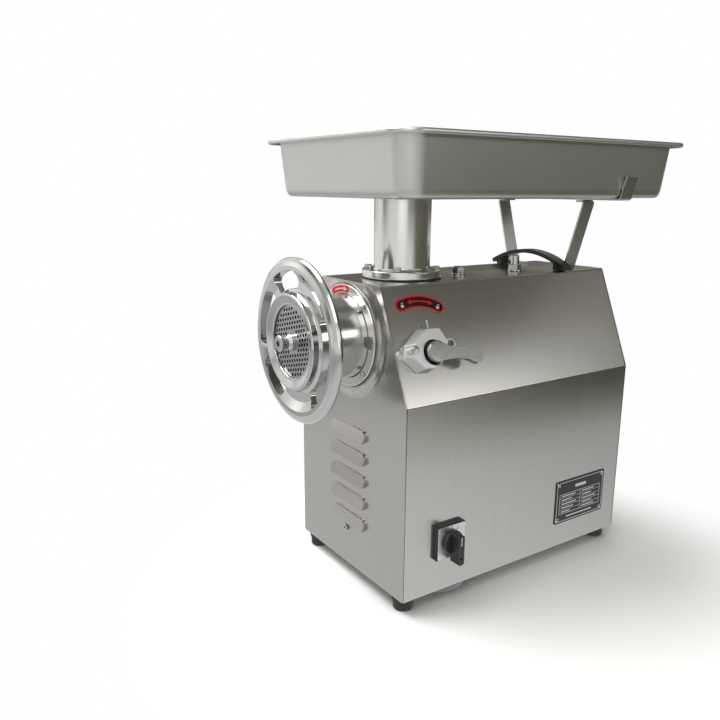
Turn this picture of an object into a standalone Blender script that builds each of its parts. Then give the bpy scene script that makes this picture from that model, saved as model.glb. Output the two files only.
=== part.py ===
"""Countertop electric meat grinder, built as separate pieces with real joints.

Lengths below are in millimetres and become metres in the helpers. The working origin is
the middle of the front panel at floor level: +X is the switch side, +Y the rear, +Z up.
One empty shifts everything so that the scene's origin is the centre of the footprint.
"""
import math

import bmesh
import bpy
from mathutils import Matrix, Vector
from mathutils.geometry import convex_hull_2d

MM = 0.001
GAP = 0.3

# Body
BODY_LENGTH = 385.0
BODY_HALF = 117.1
TOP_HALF = 63.5
UNDERSIDE_Z = 18.0
KINK_Z = 260.2
TOP_Z = 390.6
SHEET = 1.5
FOOT_PLACES = {"fl": (-99.0, 15.0), "fr": (99.0, 15.0), "rl": (-97.0, 370.0), "rr": (97.0, 370.0)}

# Grinding head, with lengths along its axis measured forward from the front panel
HEAD_Z = 324.7
FLANGE_R = 63.0
HOUSING_R = 60.0
BARREL_R = 51.0
BELL_R = 54.0
BORE_R = 45.5
PLATE_R = 50.0
RING_R = 57.0
WHEEL_R = 98.0
HEAD_FRONT = 85.0
STUD_TIP = 98.0
THREAD_START = 46.0
WHEEL_WINDOWS = ((-62, 32), (84, 126), (138, 192), (204, 246))

# Feed neck and tray
NECK_Y = 78.0
NECK_R = 35.3
NECK_BORE = 33.3
NECK_BOLT_CIRCLE = 43.0
TRAY_HALF_X = 154.0
TRAY_FRONT_Y = -39.3
TRAY_BACK_Y = 432.2
TRAY_BOTTOM_Z = 488.3
TRAY_RIM_Z = 558.0
SUPPORT_Y = 327.0
SUPPORT_WIDTH = 21.0
HANDLE_Y = 306.0
HANDLE_LEG_X = 54.0
HANDLE_HALF = 66.0

# Gear train: module, teeth and axis heights
MODULE = 3.0
OUTPUT_TEETH = 36
IDLER_PINION_TEETH = 18
IDLER_TEETH = 44
MOTOR_TEETH = 12
IDLER_Z = HEAD_Z - MODULE * (OUTPUT_TEETH + IDLER_PINION_TEETH) / 2
MOTOR_Z = IDLER_Z - MODULE * (IDLER_TEETH + MOTOR_TEETH) / 2
MOTOR_R = 75.0

# Lock lever, in the slanted panel's plane: rearward, then up the slope from the bend
LOCK_HUB = (43.5, 56.5)
LEVER_DROP = math.radians(-11.3)
SWITCH_CENTRE = (67.5, 83.8)
SWITCH_SIDE = 44.5
BASE_DISH_CENTRE = (72.0, 86.0)
CRADLE_WIDTH = 21.0
RATING_CENTRE = (307.0, 81.8)

OBJECT_NAME = "meat_grinder"


def clear_scene():
    for obj in list(bpy.data.objects):
        bpy.data.objects.remove(obj, do_unlink=True)


def new_collection(name):
    collection = bpy.data.collections.new(name)
    bpy.context.scene.collection.children.link(collection)
    return collection


clear_scene()
PARTS = new_collection(OBJECT_NAME)
CUTTERS = new_collection("cutters")


def make_material(name, color, roughness, metallic):
    material = bpy.data.materials.new(name)
    material.use_nodes = True
    shader = material.node_tree.nodes["Principled BSDF"]
    shader.inputs["Base Color"].default_value = (*color, 1.0)
    shader.inputs["Roughness"].default_value = roughness
    shader.inputs["Metallic"].default_value = metallic
    return material


FINISHES = {
    "brushed_steel": ((0.50, 0.49, 0.47), 0.32, 1.0),
    "satin_steel": ((0.58, 0.58, 0.57), 0.28, 1.0),
    "polished_steel": ((0.74, 0.74, 0.73), 0.12, 1.0),
    "tool_steel": ((0.55, 0.56, 0.57), 0.22, 1.0),
    "cast_grey": ((0.42, 0.43, 0.44), 0.45, 1.0),
    "black_plastic": ((0.015, 0.015, 0.017), 0.35, 0.0),
    "black_rubber": ((0.02, 0.02, 0.02), 0.7, 0.0),
    "copper_winding": ((0.60, 0.26, 0.12), 0.4, 0.6),
    "plate_black": ((0.02, 0.02, 0.022), 0.4, 0.0),
    "white_plastic": ((0.78, 0.77, 0.74), 0.5, 0.0),
}
MATERIALS = {name: make_material(name, *values) for name, values in FINISHES.items()}


# Helpers ---------------------------------------------------------------------------------
def axes_frame(name, origin, x_axis, y_axis, parent):
    """An empty whose local X and Y run along the given directions of its parent."""
    empty = bpy.data.objects.new(name, None)
    empty.empty_display_size = 0.03
    PARTS.objects.link(empty)
    x_dir = Vector(x_axis).normalized()
    y_dir = Vector(y_axis).normalized()
    turn = Matrix((x_dir, y_dir, x_dir.cross(y_dir))).transposed()
    empty.parent = parent
    empty.location = Vector(origin) * MM
    empty.rotation_euler = turn.to_euler()
    return empty


def place(obj, frame, at=(0, 0, 0), turn=(0, 0, 0), material="brushed_steel"):
    PARTS.objects.link(obj)
    obj.parent = frame
    obj.location = Vector(at) * MM
    obj.rotation_euler = turn
    obj.data.materials.clear()
    obj.data.materials.append(MATERIALS[material])
    return obj


def mesh_object(name, bm):
    mesh = bpy.data.meshes.new(name)
    bm.to_mesh(mesh)
    bm.free()
    return bpy.data.objects.new(name, mesh)


def circle(radius, steps, centre=(0.0, 0.0), start=0.0):
    return [(centre[0] + radius * math.cos(start + math.tau * i / steps),
             centre[1] + radius * math.sin(start + math.tau * i / steps)) for i in range(steps)]


def rounded(points, radius, steps=3, closed=True):
    """The outline with each real corner replaced by a short arc."""
    out = []
    count = len(points)
    for i, point in enumerate(points):
        here = Vector(point)
        if not closed and i in (0, count - 1):
            out.append(tuple(here))
            continue
        back = (Vector(points[i - 1]) - here)
        ahead = (Vector(points[(i + 1) % count]) - here)
        corner = back.angle(ahead)
        if math.pi - corner < math.radians(20):
            out.append(tuple(here))
            continue
        reach = radius / math.tan(corner / 2)
        reach = min(reach, back.length * 0.49, ahead.length * 0.49)
        start = here + back.normalized() * reach
        end = here + ahead.normalized() * reach
        for k in range(steps + 1):
            t = k / steps
            out.append(tuple((1 - t) ** 2 * start + 2 * t * (1 - t) * here + t ** 2 * end))
    return out


def stadium(length, height, steps=6, centre=(0.0, 0.0)):
    reach = (length - height) / 2
    radius = height / 2
    right = [(reach + radius * math.cos(a), radius * math.sin(a))
             for a in (math.pi * (k / steps - 0.5) for k in range(steps + 1))]
    left = [(-x, -y) for x, y in right]
    return [(centre[0] + x, centre[1] + y) for x, y in right + left]


def band(path, thickness):
    """The closed outline of a strip of even thickness along an open path."""
    sides = ([], [])
    points = [Vector(p) for p in path]
    for i, point in enumerate(points):
        before = (point - points[i - 1]).normalized() if i else None
        after = (points[i + 1] - point).normalized() if i < len(points) - 1 else None
        along = ((before or after) + (after or before)).normalized()
        normal = Vector((-along.y, along.x))
        straight = before or after
        miter = 1 / max(0.3, abs(normal.dot(Vector((-straight.y, straight.x)))))
        sides[0].append(tuple(point + normal * thickness / 2 * miter))
        sides[1].append(tuple(point - normal * thickness / 2 * miter))
    return sides[0] + sides[1][::-1]


def prism(name, outline, height, frame, at=(0, 0, 0), holes=(), turn=(0, 0, 0), material="brushed_steel"):
    """A flat outline, with any holes, extruded from its frame's plane along local Z."""
    curve = bpy.data.curves.new(name, "CURVE")
    curve.dimensions = "2D"
    curve.fill_mode = "BOTH"
    curve.extrude = height * MM / 2
    for points in [outline, *holes]:
        spline = curve.splines.new("POLY")
        spline.points.add(len(points) - 1)
        for target, (x, y) in zip(spline.points, points):
            target.co = (x * MM, y * MM, 0.0, 1.0)
        spline.use_cyclic_u = True
    source = bpy.data.objects.new(name + "_outline", curve)
    bpy.context.scene.collection.objects.link(source)
    graph = bpy.context.evaluated_depsgraph_get()
    mesh = bpy.data.meshes.new_from_object(source.evaluated_get(graph))
    bpy.data.objects.remove(source, do_unlink=True)
    bm = bmesh.new()
    bm.from_mesh(mesh)
    bmesh.ops.remove_doubles(bm, verts=bm.verts, dist=1e-6)
    bmesh.ops.translate(bm, verts=bm.verts, vec=(0, 0, height * MM / 2))
    bmesh.ops.recalc_face_normals(bm, faces=bm.faces)
    bm.to_mesh(mesh)
    bm.free()
    return place(bpy.data.objects.new(name, mesh), frame, at, turn, material)


def box(name, size, frame, at=(0, 0, 0), material="brushed_steel", bevel=0.0):
    bm = bmesh.new()
    bmesh.ops.create_cube(bm, size=1.0)
    bmesh.ops.scale(bm, vec=Vector(size) * MM, verts=bm.verts)
    obj = place(mesh_object(name, bm), frame, at, material=material)
    if bevel:
        soften(obj, bevel)
    return obj


def cylinder(name, radius, length, frame, at=(0, 0, 0), steps=24, turn=(0, 0, 0), material="satin_steel"):
    bm = bmesh.new()
    bmesh.ops.create_cone(bm, cap_ends=True, segments=steps, radius1=radius * MM,
                          radius2=radius * MM, depth=length * MM)
    return place(mesh_object(name, bm), frame, at, turn, material)


def turned(name, profile, frame, at=(0, 0, 0), steps=32, ring=False, turn=(0, 0, 0),
           material="satin_steel"):
    """A turned piece. The profile is (radius, along local Z), down its outer side."""
    mesh = bpy.data.meshes.new(name)
    count = len(profile)
    edges = [(i, i + 1) for i in range(count - 1)]
    if ring:
        edges.append((count - 1, 0))
    mesh.from_pydata([(r * MM, 0.0, z * MM) for r, z in profile], edges, [])
    obj = place(bpy.data.objects.new(name, mesh), frame, at, turn, material)
    screw = obj.modifiers.new("turn", "SCREW")
    screw.axis = "Z"
    screw.steps = steps
    screw.render_steps = steps
    screw.use_merge_vertices = True
    screw.merge_threshold = 0.00001
    screw.use_smooth_shade = True
    return obj


def soften(obj, width, segments=1, angle=30.0):
    bevel = obj.modifiers.new("edges", "BEVEL")
    bevel.width = width * MM
    bevel.segments = segments
    bevel.limit_method = "ANGLE"
    bevel.angle_limit = math.radians(angle)
    return obj


def combine(target, tool, operation):
    PARTS.objects.unlink(tool)
    CUTTERS.objects.link(tool)
    tool.hide_render = True
    tool.display_type = "WIRE"
    boolean = target.modifiers.new(operation.lower(), "BOOLEAN")
    boolean.operation = operation
    boolean.solver = "EXACT"
    boolean.object = tool
    return target


def cut(target, tool):
    return combine(target, tool, "DIFFERENCE")


def join(target, tool):
    return combine(target, tool, "UNION")


def hex_screw(name, across, head, shank_r, shank, frame, at, washer=0.0, material="polished_steel"):
    """A hex head standing on its frame's plane, with its shank below."""
    body = turned(name, [(0, head * 0.6), (shank_r, head * 0.6), (shank_r, -shank), (0, -shank)],
                  frame, at, steps=12, material=material)
    hexagon = prism(name + "_head", circle(across / math.sqrt(3), 6), head, frame, at)
    join(body, soften(hexagon, 0.6))
    if washer:
        join(body, cylinder(name + "_washer", washer, 1.4, frame, (at[0], at[1], at[2] + 0.7), 16))
    return body


def socket_screw(name, head_r, head, shank_r, shank, frame, at, material="polished_steel"):
    """A round head with a hex socket, standing on its frame's plane."""
    body = turned(name, [(0, head), (head_r * 0.85, head), (head_r, head * 0.75), (head_r, 0),
                         (shank_r, 0), (shank_r, -shank), (0, -shank)],
                  frame, at, steps=12, material=material)
    socket_at = (at[0], at[1], at[2] + head * 0.45)
    return cut(body, prism(name + "_socket", circle(head_r * 0.5, 6), head, frame, socket_at))


# Frames ----------------------------------------------------------------------------------
FRONT_Y = -STUD_TIP
ROOT = axes_frame("grinder", (0, -(FRONT_Y + TRAY_BACK_Y) / 2, 0), (1, 0, 0), (0, 1, 0), None)
HEAD = axes_frame("head_axis", (0, 0, HEAD_Z), (1, 0, 0), (0, 0, 1), ROOT)
IDLER = axes_frame("idler_axis", (0, 0, IDLER_Z), (1, 0, 0), (0, 0, 1), ROOT)
MOTOR = axes_frame("motor_axis", (0, 0, MOTOR_Z), (1, 0, 0), (0, 0, 1), ROOT)
FRONT = axes_frame("front_plane", (0, 0, 0), (1, 0, 0), (0, 0, 1), ROOT)
REAR = axes_frame("rear_plane", (0, BODY_LENGTH, 0), (-1, 0, 0), (0, 0, 1), ROOT)
SIDE = axes_frame("side_plane", (BODY_HALF, 0, 0), (0, 1, 0), (0, 0, 1), ROOT)
SLOPE = axes_frame("slope_plane", (BODY_HALF, 0, KINK_Z), (0, 1, 0),
                   (TOP_HALF - BODY_HALF, 0, TOP_Z - KINK_Z), ROOT)
LOCK = axes_frame("lock_axis", (*LOCK_HUB, 0), (math.cos(LEVER_DROP), math.sin(LEVER_DROP), 0),
                  (-math.sin(LEVER_DROP), math.cos(LEVER_DROP), 0), SLOPE)
TOP = axes_frame("top_plane", (0, 0, TOP_Z), (1, 0, 0), (0, 1, 0), ROOT)

BODY_OUTLINE = [(-BODY_HALF, UNDERSIDE_Z), (BODY_HALF, UNDERSIDE_Z), (BODY_HALF, KINK_Z),
                (TOP_HALF, TOP_Z), (-TOP_HALF, TOP_Z), (-BODY_HALF, KINK_Z)]
NECK_BOLTS = circle(NECK_BOLT_CIRCLE, 4, (0.0, NECK_Y), math.pi / 4)
TOP_BOLTS = {"top_bolt_front": (14.0, 160.0), "top_bolt_rear": (23.0, 253.0)}


# Casing ----------------------------------------------------------------------------------
def build_casing():
    base = box("base_plate", (2 * (BODY_HALF - SHEET - GAP), BODY_LENGTH - 2 * (SHEET + GAP), 2.0), ROOT,
               (0, BODY_LENGTH / 2, UNDERSIDE_Z + 1.0))
    for tag, (x, y) in FOOT_PLACES.items():
        cut(base, cylinder("foot_hole_" + tag, 3.4, 10, ROOT, (x, y, UNDERSIDE_Z), 12))
        turned("foot_" + tag, [(0, 27), (3, 27), (3, 17.7), (13, 17.7), (14.5, 15), (13, 1.5),
                               (11.5, 0), (0, 0)], ROOT, (x, y, 0), 16, material="black_rubber")

    inner = SHEET / 2
    skin = [(BODY_HALF - inner, UNDERSIDE_Z), (BODY_HALF - inner, KINK_Z - inner),
            (TOP_HALF - inner, TOP_Z - inner), (inner - TOP_HALF, TOP_Z - inner),
            (inner - BODY_HALF, KINK_Z - inner), (inner - BODY_HALF, UNDERSIDE_Z)]
    shell = prism("cover_shell", band(rounded(skin, 4.0, 3, closed=False), SHEET),
                  BODY_LENGTH - 2 * (SHEET + GAP), FRONT, (0, 0, -(BODY_LENGTH - SHEET - GAP)))
    cut(shell, cylinder("shell_neck_hole", NECK_R + 0.7, 20, TOP, (0, NECK_Y, 0), 24))
    shell_holes = [(x, y, 3.5) for x, y in NECK_BOLTS]
    shell_holes += [(x, y, 4.6) for x, y in TOP_BOLTS.values()]
    shell_holes += [(side * HANDLE_LEG_X, HANDLE_Y, 3.0) for side in (-1, 1)]
    for i, (x, y, radius) in enumerate(shell_holes):
        cut(shell, cylinder(f"shell_hole_{i}", radius, 20, TOP, (x, y, 0), 10))
    cut(shell, cylinder("lock_hole", 8.8, 20, SLOPE, (*LOCK_HUB, 0), 16))
    cut(shell, cylinder("switch_hole", 8.0, 20, SIDE, (*SWITCH_CENTRE, 0), 12))

    build_front_panel()
    build_rear_panel()
    turned("base_dish", [(0, 6), (35, 6), (41, 15.5), (41, 17.6), (44, 17.6), (44, 16), (37, 4.5),
                         (0, 4.5)], ROOT, (*BASE_DISH_CENTRE, 0), 28, material="cast_grey")


def build_front_panel():
    hole = circle(HOUSING_R + 0.6, 32)
    hole = [(x, y + HEAD_Z) for x, y in hole]
    panel = prism("front_panel", rounded(BODY_OUTLINE, 3.0, 2), SHEET, FRONT, (0, 0, -SHEET), [hole])
    soften(panel, 0.5, angle=60)
    profile = [(FLANGE_R + 0.4, 4.4), (66, 4.0), (70, 2.2), (74, 0.7), (79, 0.1), (79, -0.9),
               (FLANGE_R + 0.4, -0.9)]
    boss = turned("front_boss", profile, HEAD, steps=32, ring=True)
    inset = [(x * 0.995, z - 1.2) for x, z in BODY_OUTLINE]
    combine(boss, prism("boss_limit", inset, 20, FRONT, (0, 0, -10)), "INTERSECT")
    join(panel, boss)
    for i in range(5):
        z = 201.2 - 29.4 * i
        hood = prism(f"louver_{i}", stadium(77, 16, 4), 6.0, FRONT, (0, z, -0.6))
        join(panel, soften(hood, 3.6, 1, angle=60))
        cut(panel, prism(f"louver_slot_{i}", stadium(71, 11, 3), 8.0, FRONT, (0, z - 3.8, -4.0)))
    cut(panel, cylinder("earth_hole", 2.3, 10, FRONT, (-5.3, 67.9, 0), 10))
    socket_screw("earth_screw", 4.2, 3.0, 2.0, 9.0, FRONT, (-5.3, 67.9, GAP))


def build_rear_panel():
    vents = [stadium(70, 6, 4, (0.0, 190.0 - 16 * i)) for i in range(8)]
    gland_hole = circle(10.0, 16, (70.0, 55.0))
    prism("rear_panel", rounded(BODY_OUTLINE, 3.0, 2), SHEET, REAR, (0, 0, -SHEET), [*vents, gland_hole])
    turned("cable_gland", [(4.5, 16), (7, 16), (8.5, 13), (8.5, 8), (13, 8), (13, 0.3), (9.6, 0.3),
                           (9.6, -8), (4.5, -8)], REAR, (70, 55, 0), 16, ring=True,
           material="black_plastic")


# Grinding head ---------------------------------------------------------------------------
def build_housing():
    profile = [(52.3, 7.3), (62, 7.3), (FLANGE_R, 6.3), (FLANGE_R, GAP), (HOUSING_R, GAP),
               (HOUSING_R, -130), (25.3, -130), (15.6, -130), (15.6, -124), (BARREL_R + 0.5, -124),
               (BARREL_R + 0.5, 6.3)]
    housing = turned("head_housing", profile, HEAD, steps=32, ring=True, material="satin_steel")
    cut(housing, cylinder("housing_neck_hole", NECK_R + 0.6, 80, ROOT, (0, NECK_Y, HEAD_Z + 60), 24))
    cut(housing, box("bayonet_notch", (16, 15, 10), HEAD, (BARREL_R + 1, 0, 6.5)))
    cut(housing, cylinder("lock_bore", 8.8, 40, SLOPE, (*LOCK_HUB, -48), 16))
    for i, (x, y) in enumerate(circle(57.0, 4, start=math.pi / 4)):
        cut(housing, cylinder(f"flange_hole_{i}", 2.3, 30, HEAD, (x, y, -2), 8))
        socket_screw(f"flange_screw_{i + 1}", 3.2, 2.2, 2.0, 14.0, HEAD, (x, y, 7.3 + GAP))


def build_barrel():
    profile = [(PLATE_R + 0.3, 78), (BELL_R, 78), (BELL_R, THREAD_START), (BARREL_R, THREAD_START - 2),
               (BARREL_R, -121.5), (22, -121.5), (22, -98), (BORE_R, -98), (BORE_R, 62.5),
               (PLATE_R + 0.3, 62.5)]
    barrel = turned("barrel", profile, HEAD, steps=32, ring=True, material="satin_steel")
    cut(barrel, cylinder("barrel_feed_hole", NECK_BORE, 50, ROOT, (0, NECK_Y, HEAD_Z + 50), 24))


def build_worm():
    profile = [(0, STUD_TIP), (8.4, STUD_TIP), (9.6, 96.8), (9.6, 94), (7.2, 91), (7.2, 87),
               (9.6, 83.5), (9.6, 71.3), (7, 71.3), (7, 62), (16, 62), (18, 50), (18, -97), (21.6, -98),
               (21.6, -121), (0, -121)]
    worm = turned("worm", profile, HEAD, steps=16, material="tool_steel")
    join(worm, box("worm_knife_seat", (15.4, 15.4, 9.2), HEAD, (0, 0, 66.6)))
    cut(worm, box("worm_socket", (21, 21, 24), HEAD, (0, 0, -112)))
    cut(worm, prism("stud_socket", circle(4.2, 6), 8, HEAD, (0, 0, STUD_TIP - 5)))
    join(worm, helical_flight("worm_flight", 16.0, 44.0, 38.0, 3.6, 5.0, HEAD, 54.0))


def helical_flight(name, inner_r, outer_r, pitch, turns, thickness, frame, front):
    """A radial line swept round and back along the axis, thickened into a blade."""
    mesh = bpy.data.meshes.new(name)
    mesh.from_pydata([(inner_r * MM, 0, 0), (outer_r * MM, 0, 0)], [(0, 1)], [])
    flight = place(bpy.data.objects.new(name, mesh), frame, (0, 0, front), material="tool_steel")
    screw = flight.modifiers.new("flight", "SCREW")
    screw.axis = "Z"
    screw.angle = math.tau * turns
    screw.screw_offset = -pitch * turns * MM
    screw.steps = round(14 * turns)
    screw.render_steps = screw.steps
    screw.merge_threshold = 0.00001
    blade = flight.modifiers.new("blade", "SOLIDIFY")
    blade.thickness = thickness * MM
    blade.offset = 0.0
    return flight


def build_cutting_set():
    arms = []
    for k in range(4):
        for angle, radius in ((-16, 44), (16, 44), (45 - 12, 15), (45 + 12, 15)):
            a = math.radians(angle + 90 * k)
            arms.append((radius * math.cos(a), radius * math.sin(a)))
    square = [(-7.9, -7.9), (7.9, -7.9), (7.9, 7.9), (-7.9, 7.9)]
    prism("knife", arms, 7.4, HEAD, (0, 0, 63.5), [square], material="tool_steel")

    pitch = 9.8
    rows = [(i + j / 2, j * math.sqrt(3) / 2) for i in range(-4, 5) for j in range(-4, 5)]
    centres = [(pitch * x, pitch * y) for x, y in rows if 1.2 < math.hypot(x, y) < 4.2]
    holes = [circle(2.2, 6, centre) for centre in centres]
    holes.append(circle(10.0, 20))
    prism("cutter_plate", circle(PLATE_R, 40), 8.0, HEAD, (0, 0, 71.3), holes, material="tool_steel")


def wheel_window(low, high, inner, outer):
    low = math.radians(low)
    high = math.radians(high)
    count = max(5, round((high - low) / math.radians(12)))
    angles = [low + (high - low) * k / count for k in range(count + 1)]
    arc_out = [(outer * math.cos(a), outer * math.sin(a)) for a in angles]
    arc_in = [(inner * math.cos(a), inner * math.sin(a)) for a in reversed(angles)]
    return rounded(arc_out + arc_in, 8.0, 2)


def build_ring_nut():
    profile = [(43.2, 82.4), (55.8, HEAD_FRONT), (RING_R, HEAD_FRONT - 1.2), (RING_R + 0.8, 77),
               (61, 74.5), (72, 74), (83, 79.5), (88, 79.8), (95, 77.6), (WHEEL_R, 75.2), (WHEEL_R, 71.5),
               (94, 68.5), (72, 67), (RING_R, 66), (RING_R, 44), (BELL_R + 0.3, 44), (BELL_R + 0.3, 79.6),
               (43.2, 79.6)]
    ring = turned("ring_nut", profile, HEAD, steps=40, ring=True, material="polished_steel")
    for i, (low, high) in enumerate(WHEEL_WINDOWS):
        cut(ring, prism(f"window_{i}", wheel_window(low, high, 62.0, 83.0), 40, HEAD, (0, 0, 50)))


# Feed neck, tray and their supports ------------------------------------------------------
def build_neck():
    base = 1.6
    turned("feed_neck", [(NECK_BORE, 97.4), (NECK_R, 97.4), (NECK_R, base + 11), (NECK_R + 2, base + 9),
                         (49, base + 9), (50, base + 8), (50, base), (NECK_R, base), (NECK_R, -13.2),
                         (NECK_BORE, -13.2)], TOP, (0, NECK_Y, 0), 28, ring=True)
    neck = bpy.data.objects["feed_neck"]
    ring_holes = [circle(3.5, 8, (x, y - NECK_Y)) for x, y in NECK_BOLTS]
    prism("neck_gasket", circle(49.5, 24), 1.0, TOP, (0, NECK_Y, GAP),
          [circle(NECK_R + 0.7, 24), *ring_holes], material="black_rubber")
    for i, (x, y) in enumerate(NECK_BOLTS):
        cut(neck, cylinder(f"neck_hole_{i}", 3.5, 30, TOP, (x, y, 8), 8))
        hex_screw(f"neck_bolt_{i + 1}", 9.0, 5.0, 2.9, 20.0, TOP, (x, y, base + 9 + GAP))


def rounded_rectangle(half_x, half_y, radius, steps=4):
    corners = ((1, 1, 0), (-1, 1, 1), (-1, -1, 2), (1, -1, 3))
    points = []
    for sign_x, sign_y, quarter in corners:
        for k in range(steps + 1):
            a = math.pi / 2 * (quarter + k / steps)
            points.append((sign_x * (half_x - radius) + radius * math.cos(a),
                           sign_y * (half_y - radius) + radius * math.sin(a)))
    return points


def build_tray():
    half_y = (TRAY_BACK_Y - TRAY_FRONT_Y) / 2
    middle_y = (TRAY_BACK_Y + TRAY_FRONT_Y) / 2
    sheet = 1.2
    height = TRAY_RIM_Z - TRAY_BOTTOM_Z - sheet
    # Each loop of the upper face is (inset from the rim, height above the floor, corner radius).
    loops = [(0.4, height - 5, 32), (0, height - 1.8, 32), (1.8, height, 31), (11.6, height - 0.6, 27),
             (13.4, height - 2.6, 26), (19.6, 7.5, 23), (20.8, 2.4, 22), (24.5, 0, 19)]
    bm = bmesh.new()
    rings = []
    for inset, z, radius in loops:
        points = rounded_rectangle(TRAY_HALF_X - inset, half_y - inset, radius)
        rings.append([bm.verts.new((x * MM, y * MM, z * MM)) for x, y in points])
    for upper, lower in zip(rings, rings[1:]):
        for i in range(len(upper)):
            bm.faces.new((upper[i - 1], lower[i - 1], lower[i], upper[i]))
    bm.faces.new(list(reversed(rings[-1])))
    bmesh.ops.recalc_face_normals(bm, faces=bm.faces)
    tray = place(mesh_object("feed_tray", bm), ROOT, (0, middle_y, TRAY_BOTTOM_Z + sheet),
                 material="satin_steel")
    wall = tray.modifiers.new("wall", "SOLIDIFY")
    wall.thickness = sheet * MM
    wall.offset = -1.0
    join(tray, cylinder("tray_spigot", NECK_BORE - 0.4, 13, ROOT, (0, NECK_Y, TRAY_BOTTOM_Z - 5.7), 32))
    cut(tray, cylinder("tray_hole", NECK_BORE - 2, 40, ROOT, (0, NECK_Y, TRAY_BOTTOM_Z), 32))


def build_supports():
    foot_z = TOP_Z + GAP + 1.25
    for side, tag in ((-1, "left"), (1, "right")):
        path = [(34, foot_z), (52, foot_z), (79, 483.8), (66, 483.8)]
        path = [(side * x, z) for x, z in rounded(path, 4.0, 2, closed=False)]
        prism("tray_leg_" + tag, band(path, 2.5), SUPPORT_WIDTH, FRONT,
              (0, 0, -SUPPORT_Y - SUPPORT_WIDTH / 2))
    cradle_z = TRAY_BOTTOM_Z - GAP - 1.25
    hook = [(135.5, cradle_z), (138.4, 501), (143.0, 515)]
    path = [(-x, z) for x, z in reversed(hook)] + hook
    prism("tray_cradle", band(rounded(path, 4.0, 3, closed=False), 2.5), CRADLE_WIDTH, FRONT,
          (0, 0, -SUPPORT_Y - CRADLE_WIDTH / 2))


def build_handle():
    bow = []
    for k in range(13):
        x = -HANDLE_HALF + 2 * HANDLE_HALF * k / 12
        bow.append((x, TOP_Z + 22.8 - 18.4 * (x / HANDLE_HALF) ** 2))
    handle = prism("carry_handle", band(bow, 5.2), 16, FRONT, (0, 0, -HANDLE_Y - 8), material="black_plastic")
    soften(handle, 1.8, 2, angle=50)
    leg_low = TOP_Z + GAP
    for side, tag in ((-1, "left"), (1, "right")):
        x = side * HANDLE_LEG_X
        leg = box("handle_leg_" + tag, (12, 14, 11), ROOT, (x, HANDLE_Y, leg_low + 5.5))
        join(handle, soften(leg, 1.2))
        cut(handle, cylinder("handle_bore_" + tag, 2.8, 20, ROOT, (x, HANDLE_Y, leg_low), 10))
        turned("handle_bolt_" + tag, [(0, 7), (2.4, 7), (2.4, -1.8), (5, -1.8), (5, -5.5), (0, -5.5)],
               TOP, (x, HANDLE_Y, 0), 12, material="polished_steel")


def build_top_bolts():
    x, y = TOP_BOLTS["top_bolt_front"]
    hex_screw("top_bolt_front", 15.0, 10.0, 4.2, 5.0, TOP, (x, y, GAP), washer=9.5)
    x, y = TOP_BOLTS["top_bolt_rear"]
    bolt = hex_screw("top_bolt_rear", 15.0, 8.5, 4.2, 5.0, TOP, (x, y, GAP), washer=9.5)
    join(bolt, cylinder("top_stud", 5.6, 15, TOP, (x, y, 13.5), 16))


# Controls --------------------------------------------------------------------------------
def build_lock():
    outline = [(15, 71), (8, 54), (24, 37), (40, 36), (60, 46), (70, 68), (60, 88), (38, 88)]
    outline.reverse()
    bore = circle(15.2, 24, LOCK_HUB)
    screw_places = ((17.2, 62.3), (77.0, 65.0))
    bracket = prism("lock_bracket", rounded(outline, 2.0, 2), 15.7, SLOPE, (0, 0, GAP), [bore],
                    material="cast_grey")
    ear = prism("bracket_ear", stadium(26, 12, 6, (72, 65)), 6.0, SLOPE, (0, 0, GAP))
    join(bracket, ear)
    cut(bracket, cylinder("bracket_hole_1", 2.3, 40, SLOPE, (*screw_places[0], 8), 10))
    cut(bracket, cylinder("bracket_hole_2", 2.3, 40, SLOPE, (*screw_places[1], 8), 10))
    socket_screw("bracket_screw_1", 4.0, 2.6, 2.0, 15.5, SLOPE, (*screw_places[0], 16.3))
    socket_screw("bracket_screw_2", 4.0, 2.6, 2.0, 5.5, SLOPE, (*screw_places[1], 6.6))

    turned("lock_shaft", [(0, 1.6), (8, 1.6), (8, -40), (7.2, -41), (0, -41)], LOCK, steps=20,
           material="tool_steel")
    lever = turned("lock_lever", [(0, 25), (11.6, 25), (12.5, 24), (12.5, 2), (0, 2)], LOCK, steps=24,
                   material="satin_steel")
    spoon = [(53.5 + 10.5 * math.cos(a), 10.5 * math.sin(a))
             for a in (math.radians(120 - 30 * k) for k in range(9))]
    outline = [(4, 9), (18, 6.4), (42, 6.0), *spoon, (42, -6.0), (18, -6.4), (4, -9)]
    blade = prism("lever_arm", rounded(outline, 1.5, 2), 8.0, LOCK, (0, 0, 16.8))
    join(lever, soften(blade, 1.6, 2, angle=50))


def build_switch():
    side = SWITCH_SIDE / 2
    square = rounded([(-side, -side), (side, -side), (side, side), (-side, side)], 2.5, 3)
    bore = circle(3.6, 12)
    prism("switch_base", square, 5.4, SIDE, (*SWITCH_CENTRE, GAP), [bore], material="black_plastic")
    prism("switch_face", [(x * 0.94, y * 0.94) for x, y in square], 1.3, SIDE, (*SWITCH_CENTRE, 6.0),
          [bore], material="satin_steel")
    box("switch_block", (38, 38, 30), SIDE, (*SWITCH_CENTRE, -17), material="black_plastic")
    cut(bpy.data.objects["switch_block"],
        cylinder("block_bore", 3.6, 12, SIDE, (*SWITCH_CENTRE, -3), 12))
    knob = turned("switch_knob", [(0, 13), (13.5, 13), (14.8, 11.8), (14.8, 7.6), (3.2, 7.6),
                                  (3.2, -7), (0, -7)], SIDE, (*SWITCH_CENTRE, 0), 24,
                  material="black_plastic")
    grip = prism("knob_grip", rounded([(-4.6, -24), (4.6, -24), (4.6, 14.4), (-4.6, 14.4)], 3.5, 3), 15.0,
                 SIDE, (*SWITCH_CENTRE, 11.0))
    join(knob, soften(grip, 1.2, 2, angle=50))


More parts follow.
